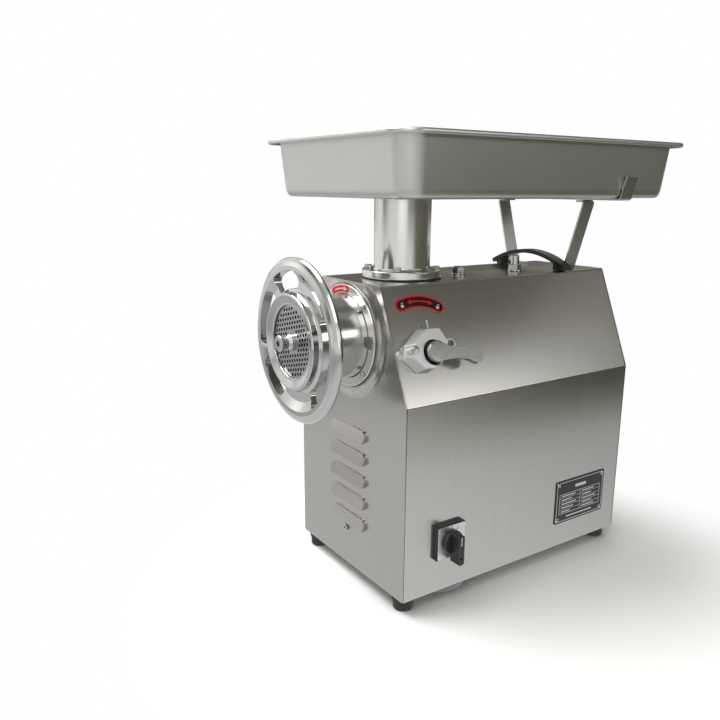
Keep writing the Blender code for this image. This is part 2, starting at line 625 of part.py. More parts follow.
def build_rating_plate():
    x, y, notch = 49.0, 30.8, 5.0
    quarter = [(x, y - notch), (x - notch, y - notch), (x - notch, y)]
    half = quarter + [(-a, b) for a, b in reversed(quarter)]
    outline = half + [(-a, -b) for a, b in half]
    prism("rating_plate", outline, 0.8, SIDE, (*RATING_CENTRE, GAP), material="plate_black")


# Drive -----------------------------------------------------------------------------------
def involute(angle):
    return math.tan(angle) - angle


def gear_outline(teeth, tooth_at):
    """An involute gear of the common module, with one tooth centred at the angle tooth_at."""
    pressure = math.radians(25)
    pitch_r = MODULE * teeth / 2
    base_r = pitch_r * math.cos(pressure)
    tip_r = pitch_r + 0.9 * MODULE
    root_r = pitch_r - 1.15 * MODULE
    half_tooth = math.pi / (2 * teeth) - 0.16 / pitch_r
    start_r = max(base_r, root_r)
    radii = [start_r + (tip_r - start_r) * k / 2 for k in range(3)]
    flank = []
    for r in radii:
        spread = half_tooth + involute(pressure) - involute(math.acos(min(1.0, base_r / r)))
        flank.append((r, spread))
    if root_r < base_r - 0.01:
        flank.insert(0, (root_r, flank[0][1]))
    points = []
    for tooth in range(teeth):
        centre = tooth_at + math.tau * tooth / teeth
        side = [(r, centre - spread) for r, spread in flank]
        side += [(r, centre + spread) for r, spread in reversed(flank)]
        points += [(r * math.cos(a), r * math.sin(a)) for r, a in side]
    return points


def hull_outline(circles):
    """The outline that wraps several circles, each (centre z, radius) on the middle plane."""
    points = []
    for z, radius in circles:
        points += circle(radius, 32, (0.0, z))
    order = convex_hull_2d([Vector(p) for p in points])
    return [points[i] for i in order]


def build_gearbox():
    wrap = [(HEAD_Z, 61.0), (IDLER_Z, 75.0), (MOTOR_Z, 40.0)]
    inside = [(z, radius - 3.5) for z, radius in wrap]
    hub_hole = circle(27.5, 24, (0.0, HEAD_Z))
    idler_hole = circle(10.3, 16, (0.0, IDLER_Z))
    motor_hole = circle(10.3, 16, (0.0, MOTOR_Z))
    front = -147.0
    case = prism("gearbox_case", hull_outline(wrap), 52.0, FRONT, (0, 0, front - 49), [hub_hole, idler_hole],
                 material="cast_grey")
    cut(case, prism("gearbox_hollow", hull_outline(inside), 60.0, FRONT, (0, 0, front - 61)))
    prism("gearbox_cover", hull_outline(wrap), 6.0, FRONT, (0, 0, front - 55.3), [idler_hole, motor_hole],
          material="cast_grey")
    turned("output_bearing", [(15.5, -130.5), (27, -130.5), (27, -146.5), (15.5, -146.5)], HEAD, steps=24,
           ring=True, material="polished_steel")


def build_gears():
    down = -math.pi / 2
    up = math.pi / 2
    shaft = turned("output_shaft", [(0, -124), (15.2, -124), (15.2, -176), (0, -176)], HEAD, steps=24,
                   material="tool_steel")
    join(shaft, box("output_tang", (20, 20, 22), HEAD, (0, 0, -115)))
    prism("output_gear", gear_outline(OUTPUT_TEETH, down + math.pi / OUTPUT_TEETH), 18, HEAD, (0, 0, -172),
          [circle(15.5, 24)], material="tool_steel")

    idler = prism("idler_shaft", gear_outline(IDLER_PINION_TEETH, up), 20, IDLER, (0, 0, -173),
                  material="tool_steel")
    join(idler, cylinder("idler_core", 10, 56, IDLER, (0, 0, -173)))
    prism("idler_gear", gear_outline(IDLER_TEETH, down + math.pi / IDLER_TEETH), 14, IDLER, (0, 0, -192),
          [circle(10.3, 24)], material="tool_steel")

    motor = prism("motor_shaft", gear_outline(MOTOR_TEETH, up), 17, MOTOR, (0, 0, -194),
                  material="tool_steel")
    join(motor, cylinder("motor_core", 9.5, 190, MOTOR, (0, 0, -276)))


def build_motor():
    case_front = -203.0
    turned("motor_can", [(12, case_front), (MOTOR_R, case_front), (MOTOR_R, -340), (71, -340),
                         (71, case_front - 6), (12, case_front - 6)], MOTOR, steps=28, ring=True,
           material="cast_grey")
    turned("motor_end_bell", [(12, -340.3), (MOTOR_R, -340.3), (MOTOR_R, -346), (60, -352), (12, -352)],
           MOTOR, steps=28, ring=True, material="cast_grey")
    turned("stator", [(46.5, -225), (69.8, -225), (69.8, -318), (46.5, -318)], MOTOR, steps=20, ring=True,
           material="copper_winding")
    turned("rotor", [(9.8, -228), (45, -228), (45, -315), (9.8, -315)], MOTOR, steps=20, ring=True,
           material="tool_steel")
    blades = 6
    fan = prism("motor_fan", circle(16, 24), 12, MOTOR, (0, 0, -367), [circle(9.8, 16)],
                material="black_plastic")
    for k in range(blades):
        angle = math.tau * k / blades
        blade = box(f"fan_blade_{k}", (44, 2, 10), MOTOR,
                    (34 * math.cos(angle), 34 * math.sin(angle), -361))
        blade.rotation_euler = (0, 0, angle)
        join(fan, blade)


def build_electrics():
    turned("run_capacitor", [(0, 45), (20, 45), (20, -45), (17, -47), (0, -47)], ROOT, (-62, 290, 41), 20,
           turn=(math.pi / 2, 0, 0), material="white_plastic")


build_casing()
build_housing()
build_barrel()
build_worm()
build_cutting_set()
build_ring_nut()
build_neck()
build_tray()
build_supports()
build_handle()
build_top_bolts()
build_lock()
build_switch()
build_rating_plate()
build_gearbox()
build_gears()
build_motor()
build_electrics()
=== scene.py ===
"""Looks for the meat grinder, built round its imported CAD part.

Lengths are in millimetres and turn into metres in the helpers. The working origin is the
middle of the front panel at floor level: +X is the switch side, +Y the rear, +Z up.
"""
import math

import bmesh
import bpy
from mathutils import Matrix, Vector


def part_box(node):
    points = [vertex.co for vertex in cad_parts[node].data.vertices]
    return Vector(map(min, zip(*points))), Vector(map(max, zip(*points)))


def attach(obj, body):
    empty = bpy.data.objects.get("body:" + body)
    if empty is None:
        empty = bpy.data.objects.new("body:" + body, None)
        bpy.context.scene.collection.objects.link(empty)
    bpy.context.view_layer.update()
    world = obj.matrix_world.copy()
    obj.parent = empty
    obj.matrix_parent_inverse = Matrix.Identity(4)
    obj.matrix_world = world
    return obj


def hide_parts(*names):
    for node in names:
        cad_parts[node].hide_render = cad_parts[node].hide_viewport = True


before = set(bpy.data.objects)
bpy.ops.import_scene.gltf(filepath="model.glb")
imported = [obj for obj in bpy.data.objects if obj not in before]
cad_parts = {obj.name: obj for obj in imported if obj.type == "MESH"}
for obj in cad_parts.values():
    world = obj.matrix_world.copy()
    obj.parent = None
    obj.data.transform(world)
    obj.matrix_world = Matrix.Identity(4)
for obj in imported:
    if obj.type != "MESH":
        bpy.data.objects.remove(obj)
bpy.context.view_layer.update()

MM = 0.001
GAP = 0.3
SHEET = 1.5


def low(node):
    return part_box(node)[0] / MM


def high(node):
    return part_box(node)[1] / MM


def middle(node, axis):
    return (getattr(low(node), axis) + getattr(high(node), axis)) / 2


# Body
FRONT_Y = low("cover_shell").y - SHEET - GAP
BODY_LENGTH = high("cover_shell").y + SHEET + GAP - FRONT_Y
BODY_HALF = high("cover_shell").x
UNDERSIDE_Z = low("cover_shell").z
TOP_Z = high("front_panel").z
TOP_HALF = 63.5
KINK_Z = 260.2
BASE_DISH_CENTRE = (middle("base_dish", "x"), middle("base_dish", "y") - FRONT_Y)

# Grinding head, with lengths along its axis measured forward from the front panel
HEAD_Z = middle("barrel", "z")
FLANGE_R = 63.0
HOUSING_R = 60.0
BARREL_R = 51.0
BELL_R = 54.0
BORE_R = 45.5
PLATE_R = 50.0
RING_R = 57.0
WHEEL_R = (high("ring_nut").x - low("ring_nut").x) / 2
HEAD_FRONT = FRONT_Y - low("ring_nut").y
STUD_TIP = FRONT_Y - low("worm").y
WHEEL_WINDOWS = ((-62, 32), (84, 126), (138, 192), (204, 246))

# Feed neck, tray and supports
NECK_Y = middle("feed_neck", "y") - FRONT_Y
NECK_R = 35.3
NECK_BORE = 33.3
NECK_BOLT_CIRCLE = 43.0
TRAY_HALF_X = high("feed_tray").x
TRAY_FRONT_Y = low("feed_tray").y - FRONT_Y
TRAY_BACK_Y = high("feed_tray").y - FRONT_Y
TRAY_BOTTOM_Z = high("feed_neck").z + GAP
TRAY_RIM_Z = high("feed_tray").z
SUPPORT_Y = middle("tray_leg_left", "y") - FRONT_Y
SUPPORT_WIDTH = 21.0
HANDLE_Y = middle("carry_handle", "y") - FRONT_Y
HANDLE_HALF = high("carry_handle").x
HANDLE_LEG_X = 54.0

# Lock lever, in the slanted panel's plane: rearward, then up the slope from the bend
LOCK_HUB = (43.5, 56.5)
LEVER_DROP = math.radians(-11.3)

# Switch and rating plate, in the side's plane: rearward, then up. Printed lines lie just proud.
SWITCH_CENTRE = (67.5, 83.8)
SWITCH_SIDE = 44.5
DIAL_Z = 7.32
LINE_Z = 1.08
LINE_DEPTH = 0.08
RATING_CENTRE = (middle("rating_plate", "y") - FRONT_Y, middle("rating_plate", "z"))


def add(name, data):
    obj = bpy.data.objects.new(name, data)
    bpy.context.scene.collection.objects.link(obj)
    return obj


def mesh_object(name, bm, base):
    bm.transform(base)
    mesh = bpy.data.meshes.new(name)
    bm.to_mesh(mesh)
    bm.free()
    return add(name, mesh)


# Frames
def axes(origin, x_axis, y_axis, parent=Matrix()):
    x_dir = Vector(x_axis).normalized()
    y_dir = Vector(y_axis).normalized()
    turn = Matrix((x_dir, y_dir, x_dir.cross(y_dir))).transposed().to_4x4()
    return parent @ Matrix.Translation(Vector(origin) * MM) @ turn


def moved(base, x=0.0, y=0.0, z=0.0, turn=0.0, axis="Z"):
    return base @ Matrix.Translation(Vector((x, y, z)) * MM) @ Matrix.Rotation(turn, 4, axis)


ROOT = axes((0, FRONT_Y, 0), (1, 0, 0), (0, 1, 0))
HEAD = axes((0, 0, HEAD_Z), (1, 0, 0), (0, 0, 1), ROOT)
FRONT = axes((0, 0, 0), (1, 0, 0), (0, 0, 1), ROOT)
REAR = axes((0, BODY_LENGTH, 0), (-1, 0, 0), (0, 0, 1), ROOT)
SIDE = axes((BODY_HALF, 0, 0), (0, 1, 0), (0, 0, 1), ROOT)
SLOPE = axes((BODY_HALF, 0, KINK_Z), (0, 1, 0), (TOP_HALF - BODY_HALF, 0, TOP_Z - KINK_Z), ROOT)
LOCK = axes((*LOCK_HUB, 0), (math.cos(LEVER_DROP), math.sin(LEVER_DROP), 0),
            (-math.sin(LEVER_DROP), math.cos(LEVER_DROP), 0), SLOPE)
TOP = axes((0, 0, TOP_Z), (1, 0, 0), (0, 1, 0), ROOT)
SWITCH = moved(SIDE, *SWITCH_CENTRE)
RATING = moved(SIDE, *RATING_CENTRE)
SUPPORT = moved(FRONT, z=-SUPPORT_Y - SUPPORT_WIDTH / 2)

BODY_OUTLINE = [(-BODY_HALF, UNDERSIDE_Z), (BODY_HALF, UNDERSIDE_Z), (BODY_HALF, KINK_Z),
                (TOP_HALF, TOP_Z), (-TOP_HALF, TOP_Z), (-BODY_HALF, KINK_Z)]


# Camera, stage and light
# The camera stands round from the front towards the switch side. Its place is in metres, with Y from
# the front panel.
CAMERA_AZIMUTH, CAMERA_ELEVATION, CAMERA_ROLL = 56.22, 13.39, 0.34
CAMERA_X, CAMERA_Y, CAMERA_Z = 0.7357, -0.4764, 0.5016
CAMERA_LENS = 36.54
CAMERA_SENSOR = 36.0
LIGHT_TARGET = Vector((0, 0, 0.2))
FLOOR_HALF = 9.0


def add_camera():
    azimuth, elevation, roll = (math.radians(a) for a in (CAMERA_AZIMUTH, CAMERA_ELEVATION, CAMERA_ROLL))
    back = Vector((math.sin(azimuth) * math.cos(elevation), -math.cos(azimuth) * math.cos(elevation),
                   math.sin(elevation)))
    right = Vector((math.cos(azimuth), math.sin(azimuth), 0))
    up = back.cross(right)
    right, up = (right * math.cos(roll) + up * math.sin(roll),
                 up * math.cos(roll) - right * math.sin(roll))
    data = bpy.data.cameras.new("camera")
    data.lens = CAMERA_LENS
    data.sensor_width = CAMERA_SENSOR
    camera = add("camera", data)
    camera.matrix_world = (Matrix.Translation((CAMERA_X, FRONT_Y * MM + CAMERA_Y, CAMERA_Z))
                           @ Matrix((right, up, back)).transposed().to_4x4())
    bpy.context.scene.camera = camera


def node(tree, kind, inputs=None, **settings):
    made = tree.nodes.new("ShaderNode" + kind)
    for key, value in settings.items():
        setattr(made, key, value)
    for key, value in (inputs or {}).items():
        if isinstance(value, bpy.types.NodeSocket):
            tree.links.new(value, made.inputs[key])
        else:
            made.inputs[key].default_value = value
    return made


def maths(tree, operation, a, b, clamp=False):
    return node(tree, "Math", {0: a, 1: b}, operation=operation, use_clamp=clamp).outputs[0]


def dot(tree, a, b):
    return node(tree, "VectorMath", {0: a, 1: b}, operation="DOT_PRODUCT").outputs["Value"]


def ramp(tree, value, low_in, high_in, low_out, high_out):
    return node(tree, "MapRange", {"Value": value, "From Min": low_in, "From Max": high_in,
                                   "To Min": low_out, "To Max": high_out},
                interpolation_type="SMOOTHSTEP").outputs[0]


def add_world():
    world = bpy.data.worlds.new("studio")
    bpy.context.scene.world = world
    world.use_nodes = True
    tree = world.node_tree
    tree.nodes.clear()
    direction = node(tree, "TexCoord").outputs["Generated"]
    height = node(tree, "SeparateXYZ", {0: direction}).outputs["Z"]

    def glow(azimuth, elevation, inner, outer, strength):
        a, e = math.radians(azimuth), math.radians(elevation)
        aim = (math.cos(a) * math.cos(e), math.sin(a) * math.cos(e), math.sin(e))
        facing = dot(tree, direction, aim)
        return ramp(tree, facing, math.cos(math.radians(outer)), math.cos(math.radians(inner)),
                    0.0, strength)

    # Each soft source: azimuth from +X towards +Y, elevation, inner and outer half angle, strength
    sources = [(-62, 12, 20, 55, 0.70), (-36, 3, 7, 24, 0.70), (190, 20, 6, 34, 1.00), (221, 10, 6, 24, 0.90),
               (20, 90, 12, 46, 0.60), (130, 30, 6, 22, 0.45), (-110, 50, 8, 24, 0.8)]
    # A low strip behind the switch side, cut off sharply above, that fades towards the rear
    strip = maths(tree, "MULTIPLY", glow(27, 13, 4, 24, 3.0),
                  maths(tree, "MULTIPLY", ramp(tree, height, 0.375, 0.315, 0.0, 1.0),
                        ramp(tree, height, 0.07, 0.15, 0.0, 1.0)))
    total = strip
    for source in sources:
        total = maths(tree, "ADD", total, glow(*source))
    room = node(tree, "Background", {"Color": (1.0, 0.94, 0.76, 1), "Strength": 0.125})
    soft = node(tree, "Background", {"Color": (1.0, 0.995, 0.98, 1), "Strength": total})
    lit = node(tree, "AddShader", {0: room.outputs[0], 1: soft.outputs[0]})
    seen = node(tree, "Background", {"Color": (1, 1, 1, 1), "Strength": 1.0})
    to_camera = node(tree, "LightPath").outputs["Is Camera Ray"]
    both = node(tree, "MixShader", {0: to_camera, 1: lit.outputs[0], 2: seen.outputs[0]})
    node(tree, "OutputWorld", {"Surface": both.outputs[0]})


def area_light(name, place, size, energy):
    data = bpy.data.lights.new(name, "AREA")
    data.shape = "DISK"
    data.size = size
    data.energy = energy
    lamp = add(name, data)
    lamp.location = place
    lamp.rotation_euler = (LIGHT_TARGET - Vector(place)).to_track_quat("-Z", "Y").to_euler()


def add_floor():
    bm = bmesh.new()
    bmesh.ops.create_grid(bm, x_segments=8, y_segments=8, size=FLOOR_HALF)
    floor = mesh_object("studio_floor", bm, Matrix())
    material = bpy.data.materials.new("studio_floor")
    material.use_nodes = True
    tree = material.node_tree
    tree.nodes.clear()
    place = node(tree, "TexCoord").outputs["Object"]
    side = node(tree, "SeparateXYZ", {0: place}).outputs["X"]
    rearward = node(tree, "SeparateXYZ", {0: place}).outputs["Y"]
    away = dot(tree, place, (-0.17, 0.985, 0))
    near_body = node(tree, "VectorMath", {0: place, 1: (0.1, 0.0, 0)}, operation="DISTANCE").outputs["Value"]
    # What the steel mirrors: a lit sweep that falls off into the dark past the switch side
    dark = maths(tree, "MULTIPLY", ramp(tree, side, 0.40, 0.68, 0.0, 1.0),
                 ramp(tree, away, -0.35, 0.85, 0.0, 1.0))
    lit = maths(tree, "ADD", ramp(tree, near_body, 0.65, 1.35, 0.66, 0.42),
                ramp(tree, near_body, 1.5, 2.5, 0.0, 0.38))
    lit = maths(tree, "MULTIPLY", lit, ramp(tree, rearward, -0.25, 0.65, 1.22, 0.80))
    level = maths(tree, "MULTIPLY", lit, maths(tree, "SUBTRACT", 1.0, maths(tree, "MULTIPLY", dark, 0.80)))
    warm = maths(tree, "MULTIPLY", level, maths(tree, "SUBTRACT", 1.0, maths(tree, "MULTIPLY", dark, 0.26)))
    paint = node(tree, "CombineColor", {0: level, 1: level, 2: warm})
    mirrored = node(tree, "Emission", {"Color": paint.outputs[0], "Strength": 1.0})
    # What the camera sees: a pale floor with painted shade, its colour darkened a little by ambient occlusion
    # near the feet and the base
    open_sky = node(tree, "AmbientOcclusion", {"Distance": 0.09}, samples=8).outputs["AO"]
    painted_shade_whiteness = ramp(tree, open_sky, 0.15, 0.95, 0.50, 0.95)
    grey = node(tree, "CombineColor", {0: painted_shade_whiteness, 1: painted_shade_whiteness, 2: painted_shade_whiteness})
    pale = node(tree, "BsdfDiffuse", {"Color": grey.outputs[0]})
    to_camera = node(tree, "LightPath").outputs["Is Camera Ray"]
    near = node(tree, "MixShader", {0: to_camera, 1: mirrored.outputs[0], 2: pale.outputs[0]})
    far = node(tree, "Emission", {"Color": (1, 1, 1, 1), "Strength": 1.0})
    edge = maths(tree, "MULTIPLY", ramp(tree, near_body, 0.21, 0.48, 0.0, 1.0), to_camera)
    both = node(tree, "MixShader", {0: edge, 1: near.outputs[0], 2: far.outputs[0]})
    node(tree, "OutputMaterial", {"Surface": both.outputs[0]})
    floor.data.materials.append(material)


bpy.context.scene.view_settings.view_transform = "Standard"
add_camera()
add_world()
add_floor()
area_light("key", (-0.85, -0.7, 2.2), 1.8, 80.0)
area_light("fill", (1.3, -0.9, 1.8), 1.4, 11.0)


# Materials
def grain_coordinates(tree, grain, around):
    """Coordinates that run slowly along the grain: straight with per-axis scales, or round an axis."""
    place = node(tree, "TexCoord").outputs["Object"]
    if not around:
        scales = grain if isinstance(grain, tuple) else (grain, grain, grain)
        return node(tree, "VectorMath", {0: place, 1: scales}, operation="MULTIPLY").outputs[0]
    centre, along = around
    offset = node(tree, "VectorMath", {0: place, 1: [c * MM for c in centre]},
                  operation="SUBTRACT").outputs[0]
    across = [0.0 if c else 1.0 for c in along]
    flat = node(tree, "VectorMath", {0: offset, 1: across}, operation="MULTIPLY").outputs[0]
    radius = node(tree, "VectorMath", {0: flat}, operation="LENGTH").outputs["Value"]
    axial = dot(tree, offset, along)
    return node(tree, "CombineXYZ", {0: maths(tree, "MULTIPLY", radius, grain),
                                     1: maths(tree, "MULTIPLY", axial, grain)}).outputs[0]


def surface(name, color, rough, grain, wear, metallic=1.0, around=None, smudge_scale=9.0, edge=0.0,
            settings=None):
    """A finish with grain in its colour, roughness and relief, wide smudges, and worn edges if asked."""
    material = bpy.data.materials.new(name)
    material.use_nodes = True
    tree = material.node_tree
    shader = tree.nodes["Principled BSDF"]
    shader.inputs["Metallic"].default_value = metallic
    for key, value in (settings or {}).items():
        shader.inputs[key].default_value = value
    streak, spread, smudge, bump = wear
    vector = grain_coordinates(tree, grain, around)
    fine = node(tree, "TexNoise", {"Vector": vector, "Scale": 1.0, "Detail": 4.0,
                                   "Roughness": 0.62}).outputs["Fac"]
    place = node(tree, "TexCoord").outputs["Object"]
    wide = node(tree, "TexNoise", {"Vector": place, "Scale": smudge_scale, "Detail": 3.0,
                                   "Roughness": 0.5, "Distortion": 0.4}).outputs["Fac"]
    dark = [max(0.0, c * (1 - streak)) for c in color]
    light = [min(1.0, c * (1 + streak)) for c in color]
    factor = maths(tree, "ADD", maths(tree, "MULTIPLY", fine, 1.6), -0.3, clamp=True)
    mix = node(tree, "Mix", data_type="RGBA")
    tree.links.new(factor, mix.inputs[0])
    mix.inputs[6].default_value = (*dark, 1)
    mix.inputs[7].default_value = (*light, 1)
    painted = mix.outputs[2]
    rough_socket = maths(tree, "ADD", maths(tree, "MULTIPLY", maths(tree, "SUBTRACT", fine, 0.5), spread),
                         maths(tree, "MULTIPLY", maths(tree, "SUBTRACT", wide, 0.5), smudge))
    rough_socket = maths(tree, "ADD", rough_socket, rough, clamp=True)
    if edge:
        round_normal = node(tree, "Bevel", {"Radius": 0.0009}, samples=4).outputs[0]
        true_normal = node(tree, "NewGeometry").outputs["Normal"]
        agree = dot(tree, round_normal, true_normal)
        worn = maths(tree, "MULTIPLY", ramp(tree, agree, 0.80, 0.99, edge, 0.0), wide)
        worn_mix = node(tree, "Mix", data_type="RGBA")
        tree.links.new(worn, worn_mix.inputs[0])
        tree.links.new(painted, worn_mix.inputs[6])
        worn_mix.inputs[7].default_value = (*[min(1.0, c * 1.5 + 0.06) for c in color], 1)
        painted = worn_mix.outputs[2]
    relief = node(tree, "Bump", {"Height": fine, "Strength": bump, "Distance": 0.0002}).outputs[0]
    tree.links.new(painted, shader.inputs["Base Color"])
    tree.links.new(rough_socket, shader.inputs["Roughness"])
    tree.links.new(relief, shader.inputs["Normal"])
    return material


# Turned pieces have their grain round one of these: a point on the axis, and its direction
HEAD_AXIS = ((0, 0, HEAD_Z), (0, 1, 0))
NECK_AXIS = ((0, NECK_Y + FRONT_Y, 0), (0, 0, 1))
# The four wear numbers are how far the grain changes colour and roughness, the smudges' share of the
# roughness, and the strength of the relief.
LOOKS = {
    "casing": surface("casing_brushed", (0.57, 0.565, 0.545), 0.21, (7, 1250, 7), (0.06, 0.05, 0.04, 0.045),
                      settings={"Anisotropic": 0.62}),
    # Painted shade: the casing's own steel made darker and warmer for the front face, also used on the rear
    # panel and base plate
    "front": surface("front_brushed_painted_shade", (0.45, 0.44, 0.415), 0.23, (1500, 1500, 8), (0.05, 0.06, 0.04, 0.03)),
    "head": surface("head_turned", (0.60, 0.60, 0.585), 0.20, 1500, (0.12, 0.14, 0.08, 0.12),
                    around=HEAD_AXIS),
    "neck": surface("neck_turned", (0.66, 0.66, 0.64), 0.17, 1300, (0.08, 0.10, 0.06, 0.07),
                    around=NECK_AXIS),
    "chrome": surface("wheel_polished", (0.54, 0.545, 0.54), 0.10, 700, (0.06, 0.07, 0.12, 0.06),
                      around=HEAD_AXIS, smudge_scale=22),
    "tray": surface("tray_satin", (0.54, 0.54, 0.525), 0.36, 420, (0.05, 0.06, 0.07, 0.04)),
    "strap": surface("strap_brushed", (0.44, 0.44, 0.425), 0.34, (700, 700, 22), (0.10, 0.10, 0.06, 0.10)),
    "fastener": surface("fastener_bright", (0.50, 0.50, 0.485), 0.22, 500, (0.14, 0.14, 0.16, 0.10),
                        smudge_scale=90, edge=0.6),
    "tool": surface("tool_ground", (0.50, 0.505, 0.51), 0.22, 900, (0.14, 0.14, 0.12, 0.12),
                    around=HEAD_AXIS, smudge_scale=30, edge=0.4),
    "plate": surface("plate_ground", (0.38, 0.385, 0.385), 0.30, (160, 160, 1800), (0.14, 0.14, 0.14, 0.12),
                     smudge_scale=40),
    # Painted light: the lever's alloy made about twice as light, to brighten the bracket where it sits in
    # shade
    "bracket": surface("bracket_cast_painted_light", (0.70, 0.71, 0.71), 0.38, 420, (0.08, 0.12, 0.10, 0.14),
                       smudge_scale=40, edge=0.7),
    "lever": surface("lever_satin", (0.36, 0.37, 0.375), 0.27, (700, 160, 700), (0.10, 0.14, 0.12, 0.10),
                     smudge_scale=40, edge=0.8),
    "cast": surface("cast_grey", (0.16, 0.165, 0.17), 0.46, 420, (0.16, 0.18, 0.12, 0.45), metallic=0.7,
                    edge=0.6),
    "plastic": surface("plastic_black", (0.008, 0.008, 0.009), 0.20, 650, (0.35, 0.14, 0.14, 0.12),
                       metallic=0.0, smudge_scale=40, edge=0.25, settings={"Specular IOR Level": 0.28}),
    "plastic_matt": surface("plastic_moulded", (0.016, 0.017, 0.019), 0.40, 900, (0.35, 0.18, 0.12, 0.30),
                            metallic=0.0, smudge_scale=60, edge=0.25),
    "silver": surface("switch_face_silver", (0.74, 0.75, 0.75), 0.34, (900, 40, 900),
                      (0.06, 0.12, 0.10, 0.08), smudge_scale=50),
    "black_paint": surface("rating_black", (0.018, 0.019, 0.021), 0.34, 600, (0.3, 0.16, 0.16, 0.10),
                           metallic=0.0, smudge_scale=50, edge=0.3),
    "rubber": surface("rubber_black", (0.018, 0.018, 0.019), 0.62, 520, (0.35, 0.2, 0.2, 0.5), metallic=0.0,
                      smudge_scale=60, edge=0.3),
    "copper": surface("winding_varnished", (0.55, 0.22, 0.09), 0.35, (1400, 60, 1400), (0.3, 0.2, 0.1, 0.6),
                      metallic=0.8),
    "white": surface("capacitor_white", (0.74, 0.73, 0.70), 0.45, 500, (0.05, 0.12, 0.1, 0.1),
                     metallic=0.0),
    "label_red": surface("label_red", (0.50, 0.012, 0.014), 0.45, 300, (0.14, 0.12, 0.14, 0.05),
                         metallic=0.0, smudge_scale=60, settings={"Specular IOR Level": 0.25}),
    "label_black": surface("label_black", (0.016, 0.003, 0.004), 0.50, 300, (0.3, 0.12, 0.14, 0.05),
                           metallic=0.0, smudge_scale=60, settings={"Specular IOR Level": 0.2}),
    "label_white": surface("label_white", (0.50, 0.49, 0.48), 0.40, 300, (0.08, 0.12, 0.14, 0.05),
                           metallic=0.0, smudge_scale=60),
}


# The CAD material behind each finish. Labels have none.
SLOTS = {
    "casing": "casing_steel", "front": "casing_steel", "strap": "casing_steel", "head": "head_steel",
    "neck": "head_steel", "chrome": "wheel_chrome", "tray": "tray_steel", "tool": "tool_steel",
    "plate": "tool_steel", "fastener": "fastener_steel", "bracket": "lever_alloy", "lever": "lever_alloy",
    "cast": "grey_cast", "plastic": "black_plastic", "plastic_matt": "black_plastic",
    "silver": "switch_silver", "black_paint": "plate_black", "rubber": "foot_rubber",
}


# Mesh helpers
def polar(radius, angle, centre=(0.0, 0.0)):
    return centre[0] + radius * math.cos(angle), centre[1] + radius * math.sin(angle)


def circle(radius, steps, centre=(0.0, 0.0), start=0.0):
    return [polar(radius, start + math.tau * i / steps, centre) for i in range(steps)]


def rectangle(left, right, bottom, top):
    return [(left, bottom), (right, bottom), (right, top), (left, top)]


def rounded(points, radius, steps, closed=True, limit=20):
    """The outline with each real corner replaced by a short arc."""
    out = []
    count = len(points)
    for i, point in enumerate(points):
        here = Vector(point)
        if not closed and i in (0, count - 1):
            out.append(tuple(here))
            continue
        back = Vector(points[i - 1]) - here
        ahead = Vector(points[(i + 1) % count]) - here
        corner = back.angle(ahead)
        if math.pi - corner < math.radians(limit):
            out.append(tuple(here))
            continue
        reach = min(radius / math.tan(corner / 2), back.length * 0.49, ahead.length * 0.49)
        start = here + back.normalized() * reach
        end = here + ahead.normalized() * reach
        for k in range(steps + 1):
            t = k / steps
            out.append(tuple((1 - t) ** 2 * start + 2 * t * (1 - t) * here + t ** 2 * end))
    return out


def stadium(length, height, steps, centre=(0.0, 0.0)):
    reach = (length - height) / 2
    radius = height / 2
    right = [(reach + radius * math.cos(a), radius * math.sin(a))
             for a in (math.pi * (k / steps - 0.5) for k in range(steps + 1))]
    left = [(-x, -y) for x, y in right]
    return [(centre[0] + x, centre[1] + y) for x, y in right + left]


def band(path, thickness):
    """The closed outline of a strip of even thickness along an open path."""
    sides = ([], [])
    points = [Vector(p) for p in path]
    for i, point in enumerate(points):
        before = (point - points[i - 1]).normalized() if i else None
        after = (points[i + 1] - point).normalized() if i < len(points) - 1 else None
        along = ((before or after) + (after or before)).normalized()
        normal = Vector((-along.y, along.x))
        straight = before or after
        miter = 1 / max(0.3, abs(normal.dot(Vector((-straight.y, straight.x)))))
        sides[0].append(tuple(point + normal * thickness / 2 * miter))
        sides[1].append(tuple(point - normal * thickness / 2 * miter))
    return sides[0] + sides[1][::-1]


def arc_band(inner, outer, first, last, steps, centre=(0.0, 0.0)):
    """A curved strip between two radii and two angles in degrees."""
    angles = [math.radians(first + (last - first) * k / steps) for k in range(steps + 1)]
    return [polar(outer, a, centre) for a in angles] + [polar(inner, a, centre) for a in reversed(angles)]


def sector(inner, outer, first, last, corner, centre=(0.0, 0.0)):
    """A ring sector with rounded corners, between two radii and two angles in degrees."""
    start, end = math.radians(first), math.radians(last)
    near = math.asin(corner / (inner + corner))
    far = math.asin(corner / (outer - corner))
    quarter = math.pi / 2
    count = max(4, round((last - first) / 2.5))

    def arc(middle, radius, begin, finish, parts):
        return [polar(radius, begin + (finish - begin) * k / parts, middle) for k in range(parts)]

    def bend(radius, angle, begin, finish):
        return arc(polar(radius, angle, centre), corner, begin, finish, 7)

    points = arc(centre, outer, start + far, end - far, count)
    points += bend(outer - corner, end - far, end - far, end + quarter)
    points += bend(inner + corner, end - near, end + quarter, end - near + 2 * quarter)
    points += arc(centre, inner, end - near, start + near, count)
    points += bend(inner + corner, start + near, start + near + 2 * quarter, start + 3 * quarter)
    points += bend(outer - corner, start + far, start - quarter, start + far)
    return points


